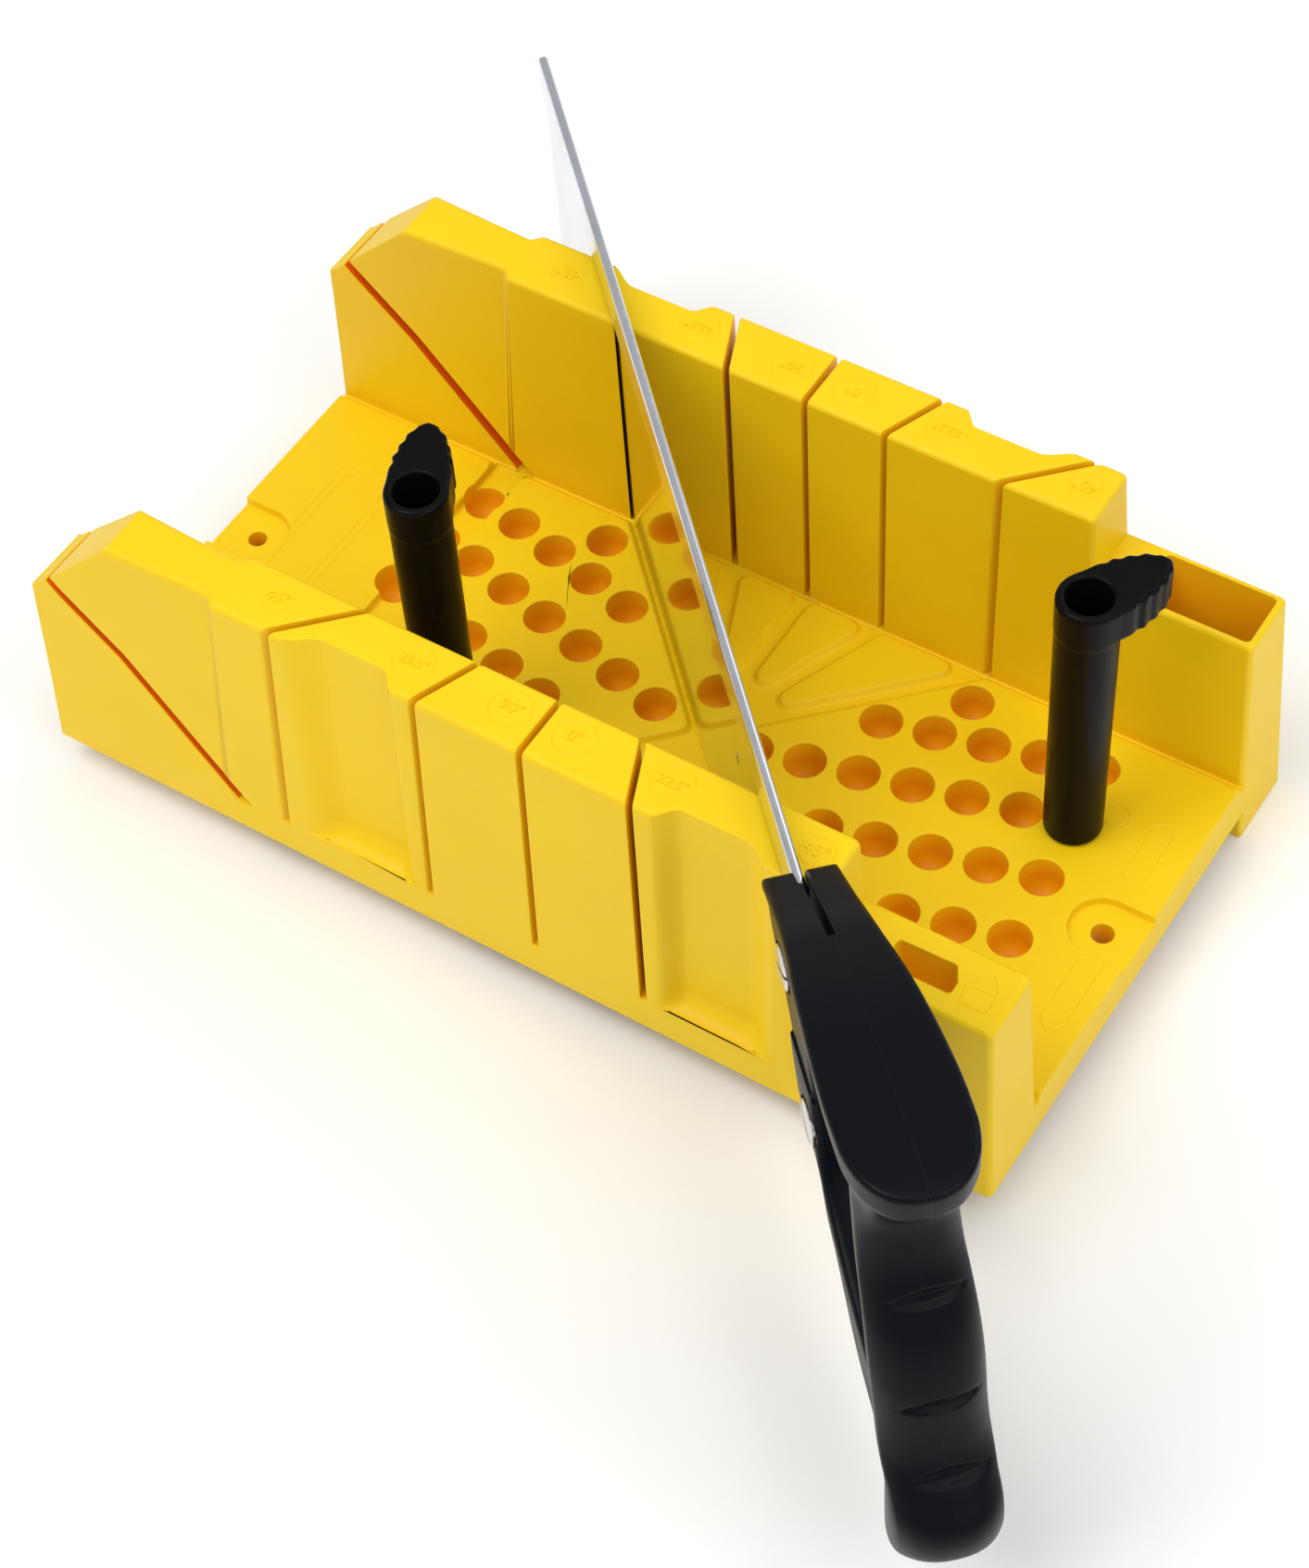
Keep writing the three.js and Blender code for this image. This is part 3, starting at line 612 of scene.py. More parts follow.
def fence_hollows(side):
    """Hollows under a fence, one between each pair of slots."""
    angles = SLOT_ANGLES if side < 0 else tuple(reversed(SLOT_ANGLES))
    hollows = []
    for cell in range(len(angles) + 1):
        scooped = cell in (1, len(angles) - 1)

        def outline_at(z, cell=cell, scooped=scooped):
            near = side * inner_face(z)
            far = side * (outer_face(z) - (SCOOP_DEPTH if scooped else 0))
            left = [MAIN_LEFT if cell == 0 else slot_x(angles[cell - 1], y) for y in (near, far)]
            right = [right_step(z) if cell == len(angles) else slot_x(angles[cell], y) for y in (near, far)]
            corners = [(left[0], near), (right[0], near), (right[1], far), (left[1], far)]
            return inset(corners, WALL + KERF / 2)

        hollows.append(loft(outline_at, foot_of(side) - PAST, FENCE_TOP - WALL))
    return hollows


def block_hollow(side):
    """Hollow of a left block below its bevel kerf."""
    slope = (FENCE_TOP - BLOCK_SHOULDER) / BLOCK_CORNER
    meet_x = (BEVEL_FOOT + FLOOR_TOP - BLOCK_SHOULDER + slope * LEFT_END) / (1 + slope)
    meet_z = BLOCK_SHOULDER + slope * (meet_x - LEFT_END)
    bottom = -30  # well below the lip
    below = [(LEFT_END, bottom), (BEVEL_FOOT, bottom), (BEVEL_FOOT, FLOOR_TOP), (meet_x, meet_z),
             (LEFT_END, BLOCK_SHOULDER)]
    near = CHANNEL_HALF + BLOCK_INSET + WALL
    far = FENCE_OUTER - BLOCK_INSET - WALL
    return slab(inset(below, WALL + KERF / 2), *sorted((side * near, side * far)))


SCOOP_DEPTH = 5.3
SCOOP_FLOOR = 13
SCOOP_LEDGE = 6  # height over which the ledge at its bottom curves out
SCOOP_INNER = (39.7, 46.3)  # where a finger scoop's inner ramp starts and ends, along X
SCOOP_OUTER = (76.5, 65)  # the same for its outer ramp


def scoops(side):
    """Finger scoops in the outer face, with soft ramps on both sides and a dished ledge at the bottom."""
    solids = []
    for end in (-1, 1):
        def outline_at(z, end=end):
            rise = min(1, max(0, (z - SCOOP_FLOOR) / SCOOP_LEDGE))
            depth = SCOOP_DEPTH * sqrt(max(0, 1 - (1 - rise) ** 2))
            outline = []
            for start, stop in (SCOOP_INNER, SCOOP_OUTER[::-1]):
                for k in range(9):
                    t = k / 8
                    ramp = (1 - cos(pi * t)) / 2
                    ramp = ramp if (start, stop) == SCOOP_INNER else 1 - ramp
                    x = start + (stop - start) * t
                    outline.append((end * x, side * (outer_face(z) - depth * ramp)))
            beyond = side * (outer_face(z) + 3)
            outline.append((end * SCOOP_OUTER[0], beyond))
            outline.append((end * SCOOP_INNER[0], beyond))
            return outline

        levels = [SCOOP_FLOOR + SCOOP_LEDGE * (1 - cos(pi / 2 * k / 6)) for k in range(1, 7)]
        solids.append(loft(outline_at, SCOOP_FLOOR + 0.02, *levels, FENCE_TOP + PAST))
    return solids


BIN_X = (104, 137)
BIN_WALL = 2
LOW_HOLLOW = 95  # where the hollows under the low blocks start
POCKET_CORNERS = [(104.6, -67.8), (121, -67.4), (123.6, -72), (123.6, -76), (104.6, -76)]
POCKET_FLOOR = 56


def end_pockets():
    """Storage bin, small tool pocket and the hollows under them."""
    def bin_outline(z):
        return rounded(band(1, *BIN_X, inner_face(z) + BIN_WALL, outer_face(z) - BIN_WALL), 1.5, 4)

    def hollow(side, x1, z0, z1):
        return loft(lambda z: band(side, LOW_HOLLOW, x1, inner_face(z) + WALL, outer_face(z) - WALL), z0, z1)

    return [
        loft(bin_outline, FLOOR_TOP, LOW_TOP + PAST),
        prism(rounded(POCKET_CORNERS, 1.3, 4), POCKET_FLOOR, LOW_TOP + PAST),
        hollow(1, BIN_X[1], LIP_BOTTOM - PAST, FLOOR_TOP - WALL),
        hollow(1, BIN_X[0] - WALL, LIP_BOTTOM - PAST, LOW_TOP - WALL),
        hollow(-1, BIN_X[1], BENCH - PAST, POCKET_FLOOR - WALL),
    ]


PAD_MARGIN = 57.9  # pads stop short of the fences
PAD_SLOPE = 0.65  # outward lean of a pad's sides per millimetre down
PAD_CORNER = 2.6
SIDE_PAD_EDGE = 2.35  # from a slot's middle; the nearest holes need room for rounded edges


def pad(corners):
    """Raised pad with sloping sides and rounded corners."""
    def outline_at(z):
        lean = PAD_SLOPE * (FLOOR_TOP - z)
        return rounded(inset(corners, -lean), PAD_CORNER + lean, 5)

    return loft(outline_at, GROOVE_FLOOR - 1, FLOOR_TOP)


def wedge_pads():
    """Raised pads between neighbouring slots, on both sides of the crossing."""
    pads = []
    for side in (-1, 1):
        for first, second in zip(SLOT_ANGLES, SLOT_ANGLES[1:]):
            half = radians(first - second) / 2
            middle = radians(first + second) / 2
            tip = GROOVE / 2 / sin(half)
            point = (side * tip * sin(middle), side * tip * cos(middle))
            far = side * PAD_MARGIN
            edges = []
            for angle, sign in ((first, -1), (second, 1)):
                offset = sign * GROOVE / 2 / cos(radians(angle))
                edges.append((slot_x(angle, far) + side * offset, far))
            pads.append(pad([point, edges[0], edges[1]]))
    return pads


def side_pads():
    """The two perforated pads beside the crossing and the plain one at the left end."""
    tip = SIDE_PAD_EDGE * sqrt(2)
    far = PAD_MARGIN
    right_x = RIGHT_END + 15
    left_x = BEVEL_GROOVE[1]
    end_x = LEFT_END - 15
    right = [(tip, 0), (far + tip, -far), (right_x, -far), (right_x, far), (far + tip, far)]
    left = [(-tip, 0), (-far - tip, far), (left_x, far), (left_x, -far), (-far - tip, -far)]
    end = [(BEVEL_GROOVE[0], -far), (BEVEL_GROOVE[0], far), (end_x, far), (end_x, -far)]
    return [pad(right), pad(left), pad(end)]


# each screw seat's X, Y and radius, its hole's radius, and the end that it runs out through
SCREW_SEATS = ((-156.5, -1.6, 10, 2.8, -1), (131, -2.5, 9.7, 3.2, 1))
SEAT_FLOOR = 11
SEAT_WALL = 2
HUB_RADIUS = 8.5
RIB = 3


def floor_plate():
    """Floor with its pads, end skirts, ribs, bosses and sleeves, trimmed to the drafted end faces."""
    half = CHANNEL_HALF + 1
    inside = GROOVE_FLOOR - 0.5
    solids = [
        loft(lambda z: band(1, left_end(z), left_end(z) + WALL, -half, half), BENCH, inside),
        loft(lambda z: band(1, right_end(z) - WALL, right_end(z), -half, half), BENCH, inside),
        box_solid(BEVEL_GROOVE[0] - 2, BEVEL_GROOVE[1] + 2, -half, half, 4, inside),
        rod(0, 0, HUB_RADIUS, BENCH, inside),
    ]
    solids += [slot_slab(angle, RIB, half / cos(radians(angle)), BENCH, inside) for angle in SLOT_ANGLES]
    solids += [rod(x, y, radius + SEAT_WALL, BENCH, inside) for x, y, radius, _, _ in SCREW_SEATS]
    solids += [rod(x, y, SLEEVE_RADIUS, BENCH, inside, 28) for x, y in hole_centres()]
    trim = loft(lambda z: band(1, left_end(z), right_end(z), -half, half), BENCH, FLOOR_TOP)
    plate = box_solid(LEFT_END - 10, RIGHT_END + 10, -half, half, FLOOR_UNDER, GROOVE_FLOOR)
    return combine(plate, solids + wedge_pads() + side_pads(), [trim])


MARK_WIDTH = 0.55  # of the engraved lines, and their depth
MARK_DEPTH = 0.22
MARK_PAST = 0.01


def ring_groove(outline, top):
    """V-shaped closed groove that follows a convex outline."""
    outer = outline if area(outline) > 0 else list(reversed(outline))
    ring = [(outer, top + MARK_PAST), (inset(outer, MARK_WIDTH / 2), top - MARK_DEPTH),
            (inset(outer, MARK_WIDTH), top + MARK_PAST)]
    rings = [[(x, y, z) for x, y in line] for line, z in ring]
    return rings_to_solid("ring", rings, closed=True)


def stadium(x, y0, y1, width):
    """Round-ended outline along Y."""
    half = width / 2
    return rounded([(x - half, y0), (x + half, y0), (x + half, y1), (x - half, y1)], half * 0.98, 8)


LABEL_RADIUS = 6.2
END_LABEL_X = 81  # the labels beyond it are smaller
END_LABEL_SCALE = 0.8
LABELS = ((-84.5, "45°"), (-40.3, "22.5°"), (-9.6, "90°"), (10.1, "0°"), (39.8, "22.5°"), (82, "45°"))
LABEL_Y = (-69.8, 71.3)
PANEL = [(-149, -14), (-129, -14), (-129, 35), (-149, 35)]
PICTOGRAM = [(126.1, -77.5), (125.4, -71), (127.9, -67.9), (131, -65.6), (134.1, -69.9), (134.4, -77)]
PICTOGRAM_LINE = ((127, -71.6), (134, -71))


def line_groove(start, end, top):
    """V-shaped straight groove."""
    along_line = (Vector(end) - Vector(start)).normalized() * MARK_WIDTH / 2
    aside = Vector((-along_line.y, along_line.x))
    rings = []
    for point in (Vector(start), Vector(end)):
        rings.append([(*(point - aside), top + MARK_PAST), (*point, top - MARK_DEPTH),
                      (*(point + aside), top + MARK_PAST)])
    return rings_to_solid("line", rings)


def markings():
    """Shallow engraved outlines: rings and a pictogram on the fences, plain panels on the floor."""
    rings = []
    for y in LABEL_Y:
        for x, _ in LABELS:
            radius = LABEL_RADIUS if abs(x) < END_LABEL_X else LABEL_RADIUS * END_LABEL_SCALE
            rings.append((circle(x, y, radius, 48), FENCE_TOP))
    plates = (stadium(133.4, -39.4, -10.8, 7.5), stadium(130.2, 14.3, 36, 7), circle(116.2, 32.7, 4, 32))
    for outline in (*plates, rounded(PANEL, 2, 4), inset(PANEL, 2.6)):
        rings.append((outline, FLOOR_TOP))
    rings.append((PICTOGRAM, LOW_TOP))
    cuts = [ring_groove(outline, top) for outline, top in rings]
    return cuts + [line_groove(*PICTOGRAM_LINE, LOW_TOP)]


BEVEL_HALF_TOP = 1.5  # half widths of the bevel kerfs, above the fences
BEVEL_HALF_FOOT = {-1: 1.7, 1: 2.3}  # and at the foot of the near and the far one


def bevel_kerf(side):
    """Kerf on the 45-degree line through a left block; the far one widens towards the floor."""
    outline = []
    for z, half in ((BEVEL_GROOVE_FLOOR, BEVEL_HALF_FOOT[side]), (FENCE_TOP + 5, BEVEL_HALF_TOP)):
        x = BEVEL_FOOT + FLOOR_TOP - z
        outline.append([(x - half * sqrt(2), z), (x + half * sqrt(2), z)])
    return slab(outline[0] + outline[1][::-1], *sorted((side * 50, side * 100)))


HOLE_FILLET = 5


def peg_hole(x, y):
    """Blind hole with a dished bottom."""
    turns = [pi / 2 * k / 6 for k in range(7)]
    levels = [(HOLE_RADIUS - HOLE_FILLET * (1 - sin(turn)), SLEEVE_FLOOR + HOLE_FILLET * (1 - cos(turn)))
              for turn in turns]
    levels.append((HOLE_RADIUS, FLOOR_TOP + PAST))
    return rings_to_solid("hole", [[(u, v, z) for u, v in circle(x, y, r, 40)] for r, z in levels])


def screw_seat(x, y, radius, end):
    """Round-ended recess that runs out through the end of the floor."""
    back, reach = x - end * radius, x + end * 60
    outline = [(back, y - radius), (reach, y - radius), (reach, y + radius), (back, y + radius)]
    return prism(rounded(outline, [radius * 0.99, 0, 0, radius * 0.99], 12), SEAT_FLOOR, FLOOR_TOP + PAST)


BOX_EDGE = 0.55  # width of its rounded edges


def mitre_box():
    """The whole moulding: added up, cut, rounded, then engraved."""
    cuts = [block_corner(), bevel_kerf(-1), bevel_kerf(1)]
    for side in (-1, 1):
        cuts += fence_hollows(side) + [block_hollow(side)] + scoops(side)
    cuts += end_pockets()
    cuts += [slot_slab(angle, KERF, 140, GROOVE_FLOOR + 0.02, FENCE_TOP + 5) for angle in SLOT_ANGLES]
    cuts.append(box_solid(*BEVEL_GROOVE, -59.9, 59.9, BEVEL_GROOVE_FLOOR, FLOOR_TOP + PAST))
    cuts.append(box_solid(-200, 200, LIP_FACE - 5, LIP_FACE, LIP_BOTTOM - PAST, BENCH))
    cuts += [peg_hole(x, y) for x, y in hole_centres()]
    for x, y, radius, hole, end in SCREW_SEATS:
        cuts += [screw_seat(x, y, radius, end), rod(x, y, hole, BENCH - PAST, FLOOR_TOP + PAST, 28)]
    body = combine(floor_plate(), fence_solids(-1) + fence_solids(1), (), cuts)
    round_edges(body, BOX_EDGE)
    return combine(body, cut=markings())


SURFACE_MARGIN = 0.05  # how near a cavity's wall a face counts as part of it
RIM = 0.6  # the painted shade in a cavity starts this far below its rim
KERF_REACH = 2.7  # from a bevel kerf's middle plane to past its walls
POCKET_X = (104.5, 123.7)
POCKET_Y = (-76.1, -67.3)


def paint_cavity_shade(piece):
    """Gives the painted-shade orange materials to the faces inside holes, kerfs, the bin and the tool pocket,
    where they stand in for shade and bounced light.
    """
    mesh = piece.data
    centres = np.empty(len(mesh.polygons) * 3)
    mesh.polygons.foreach_get("center", centres)
    x, y, z = centres.reshape(-1, 3).T / MM
    painted_shade_faces = np.zeros(len(x), bool)
    round_holes = [(u, v, HOLE_RADIUS) for u, v in hole_centres()]
    round_holes += [(u, v, hole) for u, v, _, hole, _ in SCREW_SEATS]
    for u, v, radius in round_holes:
        painted_shade_faces |= (np.hypot(x - u, y - v) < radius + SURFACE_MARGIN) & (z > 1) & (z < FLOOR_TOP - RIM)
    fences = (abs(y) > CHANNEL_HALF - 1) & (z > GROOVE_FLOOR)
    for angle in SLOT_ANGLES:
        apart = abs(x * cos(radians(angle)) - y * sin(radians(angle)))
        painted_shade_faces |= fences & (apart < KERF / 2 + SURFACE_MARGIN)
    below_rim = (z > FLOOR_TOP - SURFACE_MARGIN) & (z < LOW_TOP - RIM)
    along_bin = abs(x - sum(BIN_X) / 2) < (BIN_X[1] - BIN_X[0]) / 2 + SURFACE_MARGIN
    painted_shade_faces |= below_rim & along_bin & (
        y > inner_face(z) + BIN_WALL - SURFACE_MARGIN) & (y < outer_face(z) - BIN_WALL + SURFACE_MARGIN)
    in_pocket = (x > POCKET_X[0]) & (x < POCKET_X[1]) & (y > POCKET_Y[0]) & (y < POCKET_Y[1])
    painted_shade_faces |= below_rim & (z > POCKET_FLOOR - SURFACE_MARGIN) & in_pocket
    slanted_kerf_shade = fences & (x < MAIN_LEFT) & (abs(x + z - BEVEL_FOOT - FLOOR_TOP) < KERF_REACH * sqrt(2))
    normals = np.empty(len(x) * 3)
    mesh.polygons.foreach_get("normal", normals)
    slanted_kerf_shade &= abs(normals.reshape(-1, 3) @ (sqrt(0.5), 0, sqrt(0.5))) > 0.97
    # painted shade: cavity faces get material 1 and the bevel kerfs' walls material 2
    mesh.materials.append(cavity_painted_shade)
    mesh.materials.append(kerf_painted_shade)
    mesh.polygons.foreach_set("material_index", (painted_shade_faces + 2 * slanted_kerf_shade).astype(np.int32))


paint_cavity_shade(finish(mitre_box(), "yellow_box", yellow, "box", "box_body", slot="box"))


NUMERAL_HEIGHT = 0.3


def angle_numerals():
    """Raised numerals on the fences, read from the outside of each fence."""
    meshes = []
    for y in LABEL_Y:
        for x, text in LABELS:
            curve = bpy.data.curves.new("numeral", "FONT")
            curve.body = text
            curve.size = 5.2 if len(text) < 5 else 4.2
            curve.align_x = "CENTER"
            curve.align_y = "CENTER"
            curve.extrude = NUMERAL_HEIGHT
            curve.resolution_u = 3
            temporary = add_object("numeral", curve)
            bpy.context.view_layer.update()
            evaluated = temporary.evaluated_get(bpy.context.evaluated_depsgraph_get())
            mesh = bpy.data.meshes.new_from_object(evaluated)
            bpy.data.objects.remove(temporary)
            facing = Matrix.Rotation(pi if y > 0 else 0, 4, "Z")
            mesh.transform(Matrix.Translation((x, y, FENCE_TOP)) @ facing)
            meshes.append(mesh)
    joined = bmesh.new()
    for mesh in meshes:
        joined.from_mesh(mesh)
    bmesh.ops.remove_doubles(joined, verts=joined.verts, dist=0.001)
    result = bpy.data.meshes.new("numerals")
    joined.to_mesh(result)
    joined.free()
    return add_object("numerals", result)


finish(angle_numerals(), "angle_numerals", yellow, "box", slot="box")


# ---- cam posts
POST_FOOT = FLOOR_TOP + 0.3
POST_TOP = FLOOR_TOP + 97
POST_HEAD = 12  # depth of the lever
POST_RADIUS = (8.4, 8.8)  # at the foot and under the head
POST_BORE = 6.3
BORE_FLOOR = FLOOR_TOP + 6
POST_OFFSET = -1.5  # tube axis from the peg axis, along the lever
PEG_RADIUS = 5.8
PEG_BOTTOM = 3
HEAD_RADIUS = 8.6
LEVER_PROFILE = ((0, 8.6), (3, 8.7), (7, 8.7), (12, 8.3), (17, 6.9), (21, 5.2), (23.6, 3.2), (24.9, 0.8))
LEVER_LENGTH = LEVER_PROFILE[-1][0]
FLUTE_START = 8
FLUTE_PITCH = 4.1
FLUTE_DEPTH = 0.55
# each post's peg axis in X and Y, and the heading of its lever in degrees
LEFT_POST = (-65, -30, 116.5)
RIGHT_POST = (108.18, 25.5, 60.5)


def lever_half_width(x):
    for (x0, w0), (x1, w1) in zip(LEVER_PROFILE, LEVER_PROFILE[1:]):
        if x <= x1:
            return w0 + (w1 - w0) * (x - x0) / (x1 - x0)
    return 0


def head_outline():
    """Plan of a post's head: round over the tube, then a lever with four flutes down each flank."""
    outline = []
    steps = 72
    for i in range(steps + 1):
        x = LEVER_LENGTH * i / steps
        wave = (1 - cos(2 * pi * (x - FLUTE_START) / FLUTE_PITCH)) / 2 if x > FLUTE_START else 0
        outline.append((x, lever_half_width(x) - FLUTE_DEPTH * wave))
    turns = [pi / 2 + pi * k / 24 for k in range(1, 24)]
    back = [(HEAD_RADIUS * cos(turn), HEAD_RADIUS * sin(turn)) for turn in turns]
    lower = [(x, -y) for x, y in outline]
    return [(LEVER_LENGTH + 0.2, 0)] + outline[::-1] + back + lower


HEAD_OUTLINE = head_outline()


def post_field(x, y, z):
    """Tube with a fluted lever head, bored from the top, and a peg below; the tube stands at the origin."""
    reach = np.sqrt(x ** 2 + y ** 2)
    tube = soft_max(reach - np.interp(z, (POST_FOOT, POST_TOP), POST_RADIUS), POST_FOOT - z, 1.6)
    head = soft_max(outline_distance(x, y, HEAD_OUTLINE), POST_TOP - POST_HEAD - z, 1)
    body = soft_max(soft_min(tube, head, 1), z - POST_TOP, 1.6)
    bore = np.maximum(reach - POST_BORE, BORE_FLOOR - z)
    peg = soft_max(np.sqrt((x + POST_OFFSET) ** 2 + y ** 2) - PEG_RADIUS, PEG_BOTTOM - z, 1)
    return np.minimum(soft_max(body, -bore, 1.2), np.maximum(peg, z - POST_FOOT - 2))


def cam_post(net, x, y, lever):
    """Copy of the post with its peg axis at x and y."""
    post = add_object("post", net.copy())
    turn = Matrix.Translation((x, y, 0)) @ Matrix.Rotation(radians(lever), 4, "Z")
    post.data.transform(turn @ Matrix.Translation((POST_OFFSET, 0, 0)))
    return post


post_pattern = surface_net(post_field, (-10.1, -10.1, 2), (26.5, 10.2, POST_TOP + 1.2), 0.55)
right_post = cam_post(post_pattern.data, *RIGHT_POST)
left_post = cam_post(post_pattern.data, *LEFT_POST)
bpy.data.objects.remove(post_pattern)
finish(right_post, "right_post", black, "cam_right", "cam_post_right", slot="cam_post", flat=False)
finish(left_post, "left_post", black, "cam_left", "cam_post_left", slot="cam_post", flat=False)


# ---- saw, in its own plane
TOOTH_LINE = 12.5
TOE = -183
TOOTH_PITCH = 2.3
TOOTH_DEPTH = 1.5
TOOTH_SET = 0.16  # how far a tooth leans out of the plate
PLATE_HALF = 0.4
SPINE_X = (-187, 152)
SPINE_Z = (95.5, 108.5)
SPINE_HALF = 1.5
SPINE_GAP = 0.7
HEEL = [(165.5, 56), (154, 79), (154, 94.5), (152, 94.5)]
SCREW_PLACES = ((137, 91), (159.5, 55.5))
BLADE_HOLE = (57.6, 73, 1.6)  # X, Z and radius of the small hole


def blade_outline():
    """Outline of the plate with its cross-cut teeth, and the height of their roots."""
    top = SPINE_Z[1] - 3.3
    outline = [(TOE - 2, top), (TOE - 3, top - 4)]
    root = TOOTH_LINE + TOOTH_DEPTH
    outline += [(TOE, root + 2), (TOE + 2, root)]
    for i in range(int((150 - TOE) / TOOTH_PITCH)):
        start = TOE + 3 + i * TOOTH_PITCH
        outline += [(start + 0.45 * TOOTH_PITCH, TOOTH_LINE), (start + 0.97 * TOOTH_PITCH, root)]
    outline += [(HEEL[0][0], root), *HEEL, (HEEL[-1][0], top)]
    return outline, root


def make_blade():
    """Plate whose teeth lean to one side and the other in turn."""
    outline, root = blade_outline()
    blade = slab(outline, -PLATE_HALF, PLATE_HALF)
    x, z, radius = BLADE_HOLE
    holes = [cross_rod(x, z, radius, -2, 2, 24)] + [cross_rod(x, z, 4.1, -2, 2) for x, z in SCREW_PLACES]
    combine(blade, cut=holes)
    for vertex in blade.data.vertices:
        if vertex.co.z < root - 0.7 and vertex.co.x < SPINE_X[1]:
            side = 1 if round((vertex.co.x - TOE - 3) / TOOTH_PITCH - 0.45) % 2 else -1
            vertex.co.y += side * TOOTH_SET
    return blade


def make_back():
    """Folded strip: a round-topped U over the blade, squared off at both ends."""
    z0, z1 = SPINE_Z
    section = [(-SPINE_HALF, z0), (-SPINE_GAP, z0), (-SPINE_GAP, z1 - 3)]
    section += [(-y, z) for y, z in reversed(section)]
    turns = [pi * k / 10 for k in range(11)]
    section += [(SPINE_HALF * cos(turn), z1 - SPINE_HALF + SPINE_HALF * sin(turn)) for turn in turns]
    back = rings_to_solid("back", [[(x, y, z) for y, z in section] for x in SPINE_X])
    round_edges(back, 0.15, 2, 50)
    return back


finish(make_blade(), "blade", mirror_steel, "saw", "saw_blade", turn=SAW_TURN, slot="blade", angle=20)
finish(make_back(), "folded_back", back_steel, "saw", "saw_back", turn=SAW_TURN, slot="back")


# ---- handle, drawn as a distance field
# lines over X: height, thickness and half width of the flared top, and height of the butt's underside
RIM_TOP = ((120, 110), (126, 113.5), (142, 122), (158, 130), (185, 140), (215, 147), (234, 149.6),
           (246, 149.8))
RIM_THICKNESS = ((120, 4.2), (160, 4.6), (200, 5), (225, 7.5), (246, 10))
RIM_WIDTHS = ((125.6, 8.9), (140, 9.9), (156, 11.3), (177, 13.7), (200, 15.4), (215, 15.9), (226, 15.2),
              (234, 12.6), (239, 8.2), (241, 3))
GRIP_FOOT = ((225, 15), (245, 16), (256, 19.5), (264, 24.5), (272, 31))
# outlines in X and Z
WEB_OUTLINE = (
    (124.5, 110), (142, 119), (158, 127), (185, 137), (212, 143), (228, 144), (228, 128), (222, 112),
    (230, 92), (240, 62), (250, 45), (252, 28), (246, 17.5), (236, 14), (220, 15.7), (204, 19.8), (187, 32),
    (177, 37.5), (168, 47), (151, 52), (143.5, 61), (133, 80), (123.5, 96))
HAND_OPENING = (
    (157.5, 100), (159.5, 82), (162.5, 67), (170.5, 51), (184, 42), (206, 35.5), (226, 36), (232, 56),
    (226, 76), (216, 96), (206, 116), (196, 125), (184, 122), (167, 112))
# lines over Z: the grip's rear, front, half width and widest place, and half the web
GRIP_REAR = ((10, 262), (20, 266), (28, 269.5), (36, 271.5), (44, 270.5), (50, 265), (56, 259), (64, 255.5),
             (78, 251.5), (90, 246), (98, 240), (106, 234.5), (116, 231), (124, 230.5), (130, 233),
             (136, 237.5), (143, 240.3), (152, 240.8))
GRIP_FRONT = ((10, 232), (30, 231), (48, 229), (62, 223), (92, 213.5), (106, 204), (128, 200), (152, 202))
GRIP_WIDTH = ((10, 14.2), (22, 15.4), (32, 15.9), (42, 15.8), (52, 15), (64, 14.6), (80, 14.8), (94, 14.3),
              (108, 13.2), (122, 12.8), (136, 13.4), (152, 13.8))
GRIP_EGG = ((10, 0.7), (45, 0.65), (60, 0.5), (120, 0.45), (152, 0.1))
WEB_THICKNESS = ((10, 7.4), (65, 7.4), (67.5, 6.5), (108, 8), (150, 8))
GRIP_TAPER = 0.34  # how much narrower it is at the front
GRIP_POWER = 2.3  # 2 makes its section an ellipse, more makes it squarer
FINGER_GROOVES = (98, 73, 52.5)
FINGER_DEPTH = 1.3


def grip_field(x, y, z):
    """Egg-shaped grip with a shallow groove under each finger."""
    rear = along(GRIP_REAR, z)
    front = along(GRIP_FRONT, z)
    half = (rear - front) / 2
    middle = (rear + front) / 2
    widest = middle + half * along(GRIP_EGG, z)
    width = along(GRIP_WIDTH, z) * (1 - GRIP_TAPER * np.clip((widest - x) / half, 0, 2))
    reach = ((abs(x - middle) / half) ** GRIP_POWER + (abs(y) / width) ** GRIP_POWER) ** (1 / GRIP_POWER)
    field = (reach - 1) * np.minimum(half, width)
    for height in FINGER_GROOVES:
        share = np.clip(1 - ((y - 1) / 11.5) ** 2, 0, 1)
        rise = np.clip((z - height) / 0.7, 0, 1) * np.clip((height + 4 * share - z) / 1.6, 0, 1)
        field = field + FINGER_DEPTH * share ** 0.7 * rise * (1 + np.tanh((x - middle) / 3)) / 2
    return soft_max(field, along(GRIP_FOOT, x) - z, 5)


def handle_field(x, y, z):
    """Web with its hand opening, flared top and grip, blended into one body."""
    top = (z - along(RIM_TOP, x)) * 0.94
    web = soft_max(outline_distance(x, z, spline(WEB_OUTLINE, True, 5)),
                   -outline_distance(x, z, spline(HAND_OPENING, True, 6)), 2)
    web = soft_max(web, abs(y) - along(WEB_THICKNESS, z), 2.4)
    widths = spline(RIM_WIDTHS, steps=5)
    plan = np.vstack([widths, widths[::-1] * (1, -1)])
    edge = outline_distance(x, y, plan)
    rim = soft_max(edge, -top - along(RIM_THICKNESS, x), 2.5)
    body = soft_min(web, grip_field(x, y, z), 6)
    body = soft_min(body, rim, 4)
    return soft_max(body, top, 1.6)


WEB_HALF = 7.5
SPLIT_END = 157  # of the split in its top, which lets the web close on the blade
SHANK_HOLE = 3.9
HEAD_RECESS = 6.9


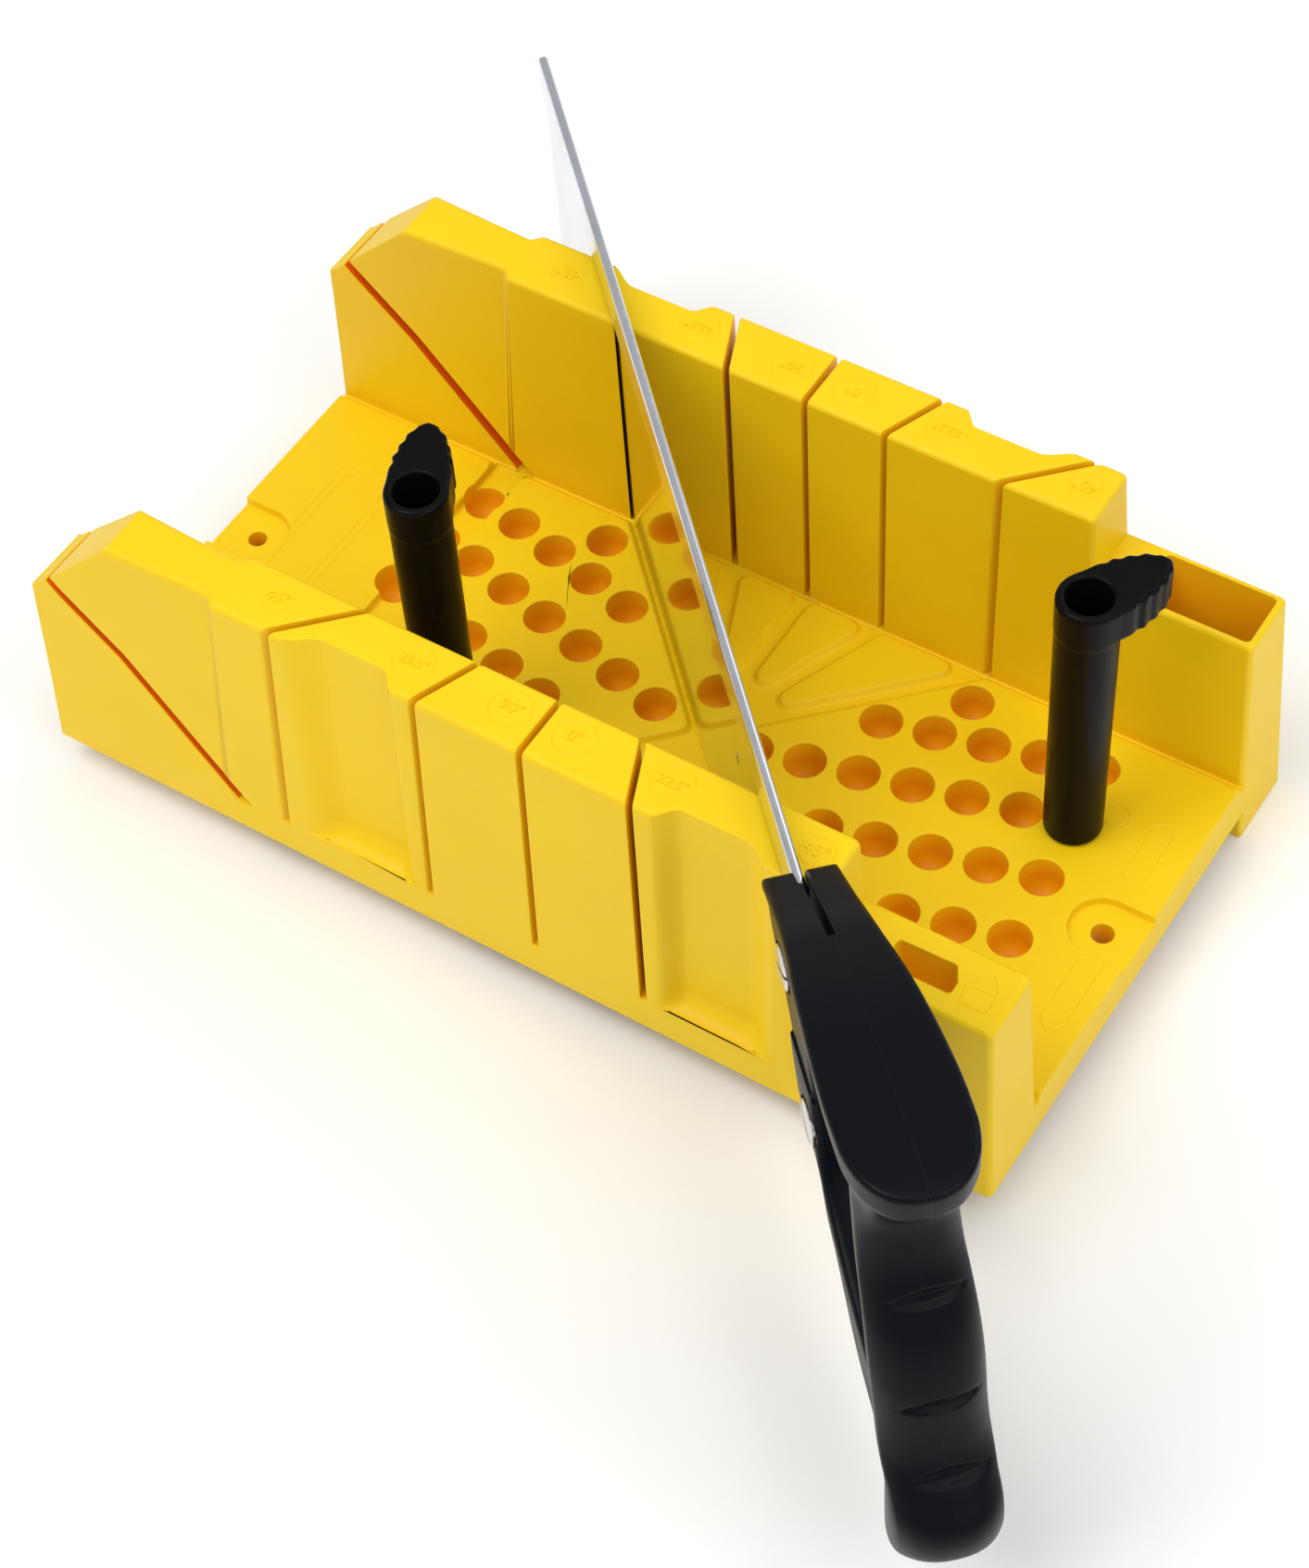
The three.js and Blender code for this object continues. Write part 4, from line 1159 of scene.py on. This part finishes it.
def make_handle():
    """The handle with room for the blade, its back and the fasteners."""
    handle = surface_net(handle_field, (119, -17.6, 9), (276, 17.6, 152.5), 0.72)
    mouth = slab([(100, 95.2), (131.5, 95.2), (131.5, 150), (100, 150)], -1.8, 1.8)
    tunnel = slab([(100, 95.2), (152.3, 95.2), (152.3, 109), (100, 109)], -1.8, 1.8)
    split = slab([(100, 95.2), (152.3, 95.2), (SPLIT_END, 112), (SPLIT_END, 150), (100, 150)], -1, 1)
    blade_slot = slab([(100, 0), (165.8, 0), (165.8, 56), (154.3, 79), (154.3, 96), (100, 96)], -0.7, 0.7)
    cuts = [mouth, tunnel, split, blade_slot]
    for x, z in SCREW_PLACES:
        cuts.append(cross_rod(x, z, SHANK_HOLE, -20, 20))
        cuts.append(cross_rod(x, z, HEAD_RECESS, -20, 1 - WEB_HALF, 48))
        cuts.append(cross_rod(x, z, HEAD_RECESS, WEB_HALF - 1, 20, 48))
    return combine(handle, cut=cuts)


def turned(x, z, profile, sides=48):
    """Solid turned about an axis across the saw; the profile lists radii along that axis."""
    rings = [[(u, y, v) for u, v in circle(x, z, radius, sides)] for y, radius in profile]
    return rings_to_solid("turned", rings)


SCREW_DOME = ((-6.85, 5.7), (-7.0, 5.95), (-7.7, 6), (-8.0, 5.8), (-8.2, 5.3), (-8.32, 4.4), (-8.38, 3),
              (-8.4, 0.4))
SHANK_RADIUS = 2.4


def handle_screw(x, z, turn):
    """Slotted domed head on the near-left face with its shank."""
    shank = [(6.4, 2.1), (6.1, SHANK_RADIUS), (SCREW_DOME[0][0], SHANK_RADIUS)]
    screw = turned(x, z, shank + list(SCREW_DOME))
    driver_slot = box_solid(-7, 7, -0.55, 0.55, -0.5, 2)
    driver_slot.data.transform(Matrix.Translation((x, -7.7, z)) @ Matrix.Rotation(radians(90), 4, "X")
                               @ Matrix.Rotation(radians(turn), 4, "Z"))
    return combine(screw, cut=[driver_slot])


def sleeve_nut(x, z):
    """Plain domed head on the far face with its hollow barrel."""
    inside = [(6.7, 2.7), (-1.2, 2.7), (-1.2, 3.6), (6.85, 3.6)]
    outside = [(-y, r) for y, r in SCREW_DOME]
    return turned(x, z, inside + outside)


finish(make_handle(), "handle", black_grip, "saw", "saw_handle", turn=SAW_TURN, slot="handle", angle=38,
       flat=False)
for label, (x, z), turn in (("front", SCREW_PLACES[0], 25), ("rear", SCREW_PLACES[1], -40)):
    finish(handle_screw(x, z, turn), f"{label}_screw", zinc, "saw", f"handle_screw_{label}", turn=SAW_TURN,
           slot="fastener")
    finish(sleeve_nut(x, z), f"{label}_nut", zinc, "saw", f"handle_nut_{label}", turn=SAW_TURN,
           slot="fastener")


# ---- camera and light
CAMERA_PLACE = (347.5, -497.7, 776.2)  # solved from the straight edges of the box in the photograph
CAMERA_TURN = (37.61, 2.979, 32.369)
camera_data = bpy.data.cameras.new("camera")
camera = add_object("camera", camera_data)
bpy.context.scene.camera = camera
camera_data.sensor_fit = "VERTICAL"
camera_data.sensor_height = 36
camera_data.lens = 78.34
camera_data.dof.use_dof = False
camera_data.clip_end = 20
camera.location = Vector(CAMERA_PLACE) * MM
camera.rotation_euler = [radians(turn) for turn in CAMERA_TURN]

floor_mesh = bmesh.new()
bmesh.ops.create_grid(floor_mesh, x_segments=1, y_segments=1, size=6)
ground = add_object("ground", bpy.data.meshes.new("ground"))
floor_mesh.to_mesh(ground.data)
floor_mesh.free()
ground.location.z = LIP_BOTTOM * MM
paper, _, paper_shader, _ = start_material("paper_floor")
set_inputs(paper_shader, {"Base Color": (0.97, 0.97, 0.97, 1), "Roughness": 0.8})
ground.data.materials.append(paper)


def area_light(name, place, size, power, target=(0, 0, 0.05)):
    """Square soft light that faces its target, in metres and watts."""
    data = bpy.data.lights.new(name, "AREA")
    data.shape = "SQUARE"
    data.size = size
    data.energy = power
    lamp = add_object(name, data)
    lamp.location = place
    lamp.rotation_euler = (Vector(target) - Vector(place)).to_track_quat("-Z", "Y").to_euler()


area_light("key", (-0.6, -0.9, 1.9), 1.3, 20)
area_light("fill", (1.4, -0.3, 1.3), 1.2, 8, (0.35, -0.2, 0))
area_light("back", (0.4, 1.6, 1.4), 1.2, 5)
area_light("overhead", (0.3, 0, 2.4), 2.5, 14)
world = bpy.data.worlds.new("studio")
bpy.context.scene.world = world
world.use_nodes = True
set_inputs(world.node_tree.nodes["Background"], {"Color": (1, 1, 1, 1), "Strength": 0.45})
bpy.context.scene.view_settings.view_transform = "Standard"
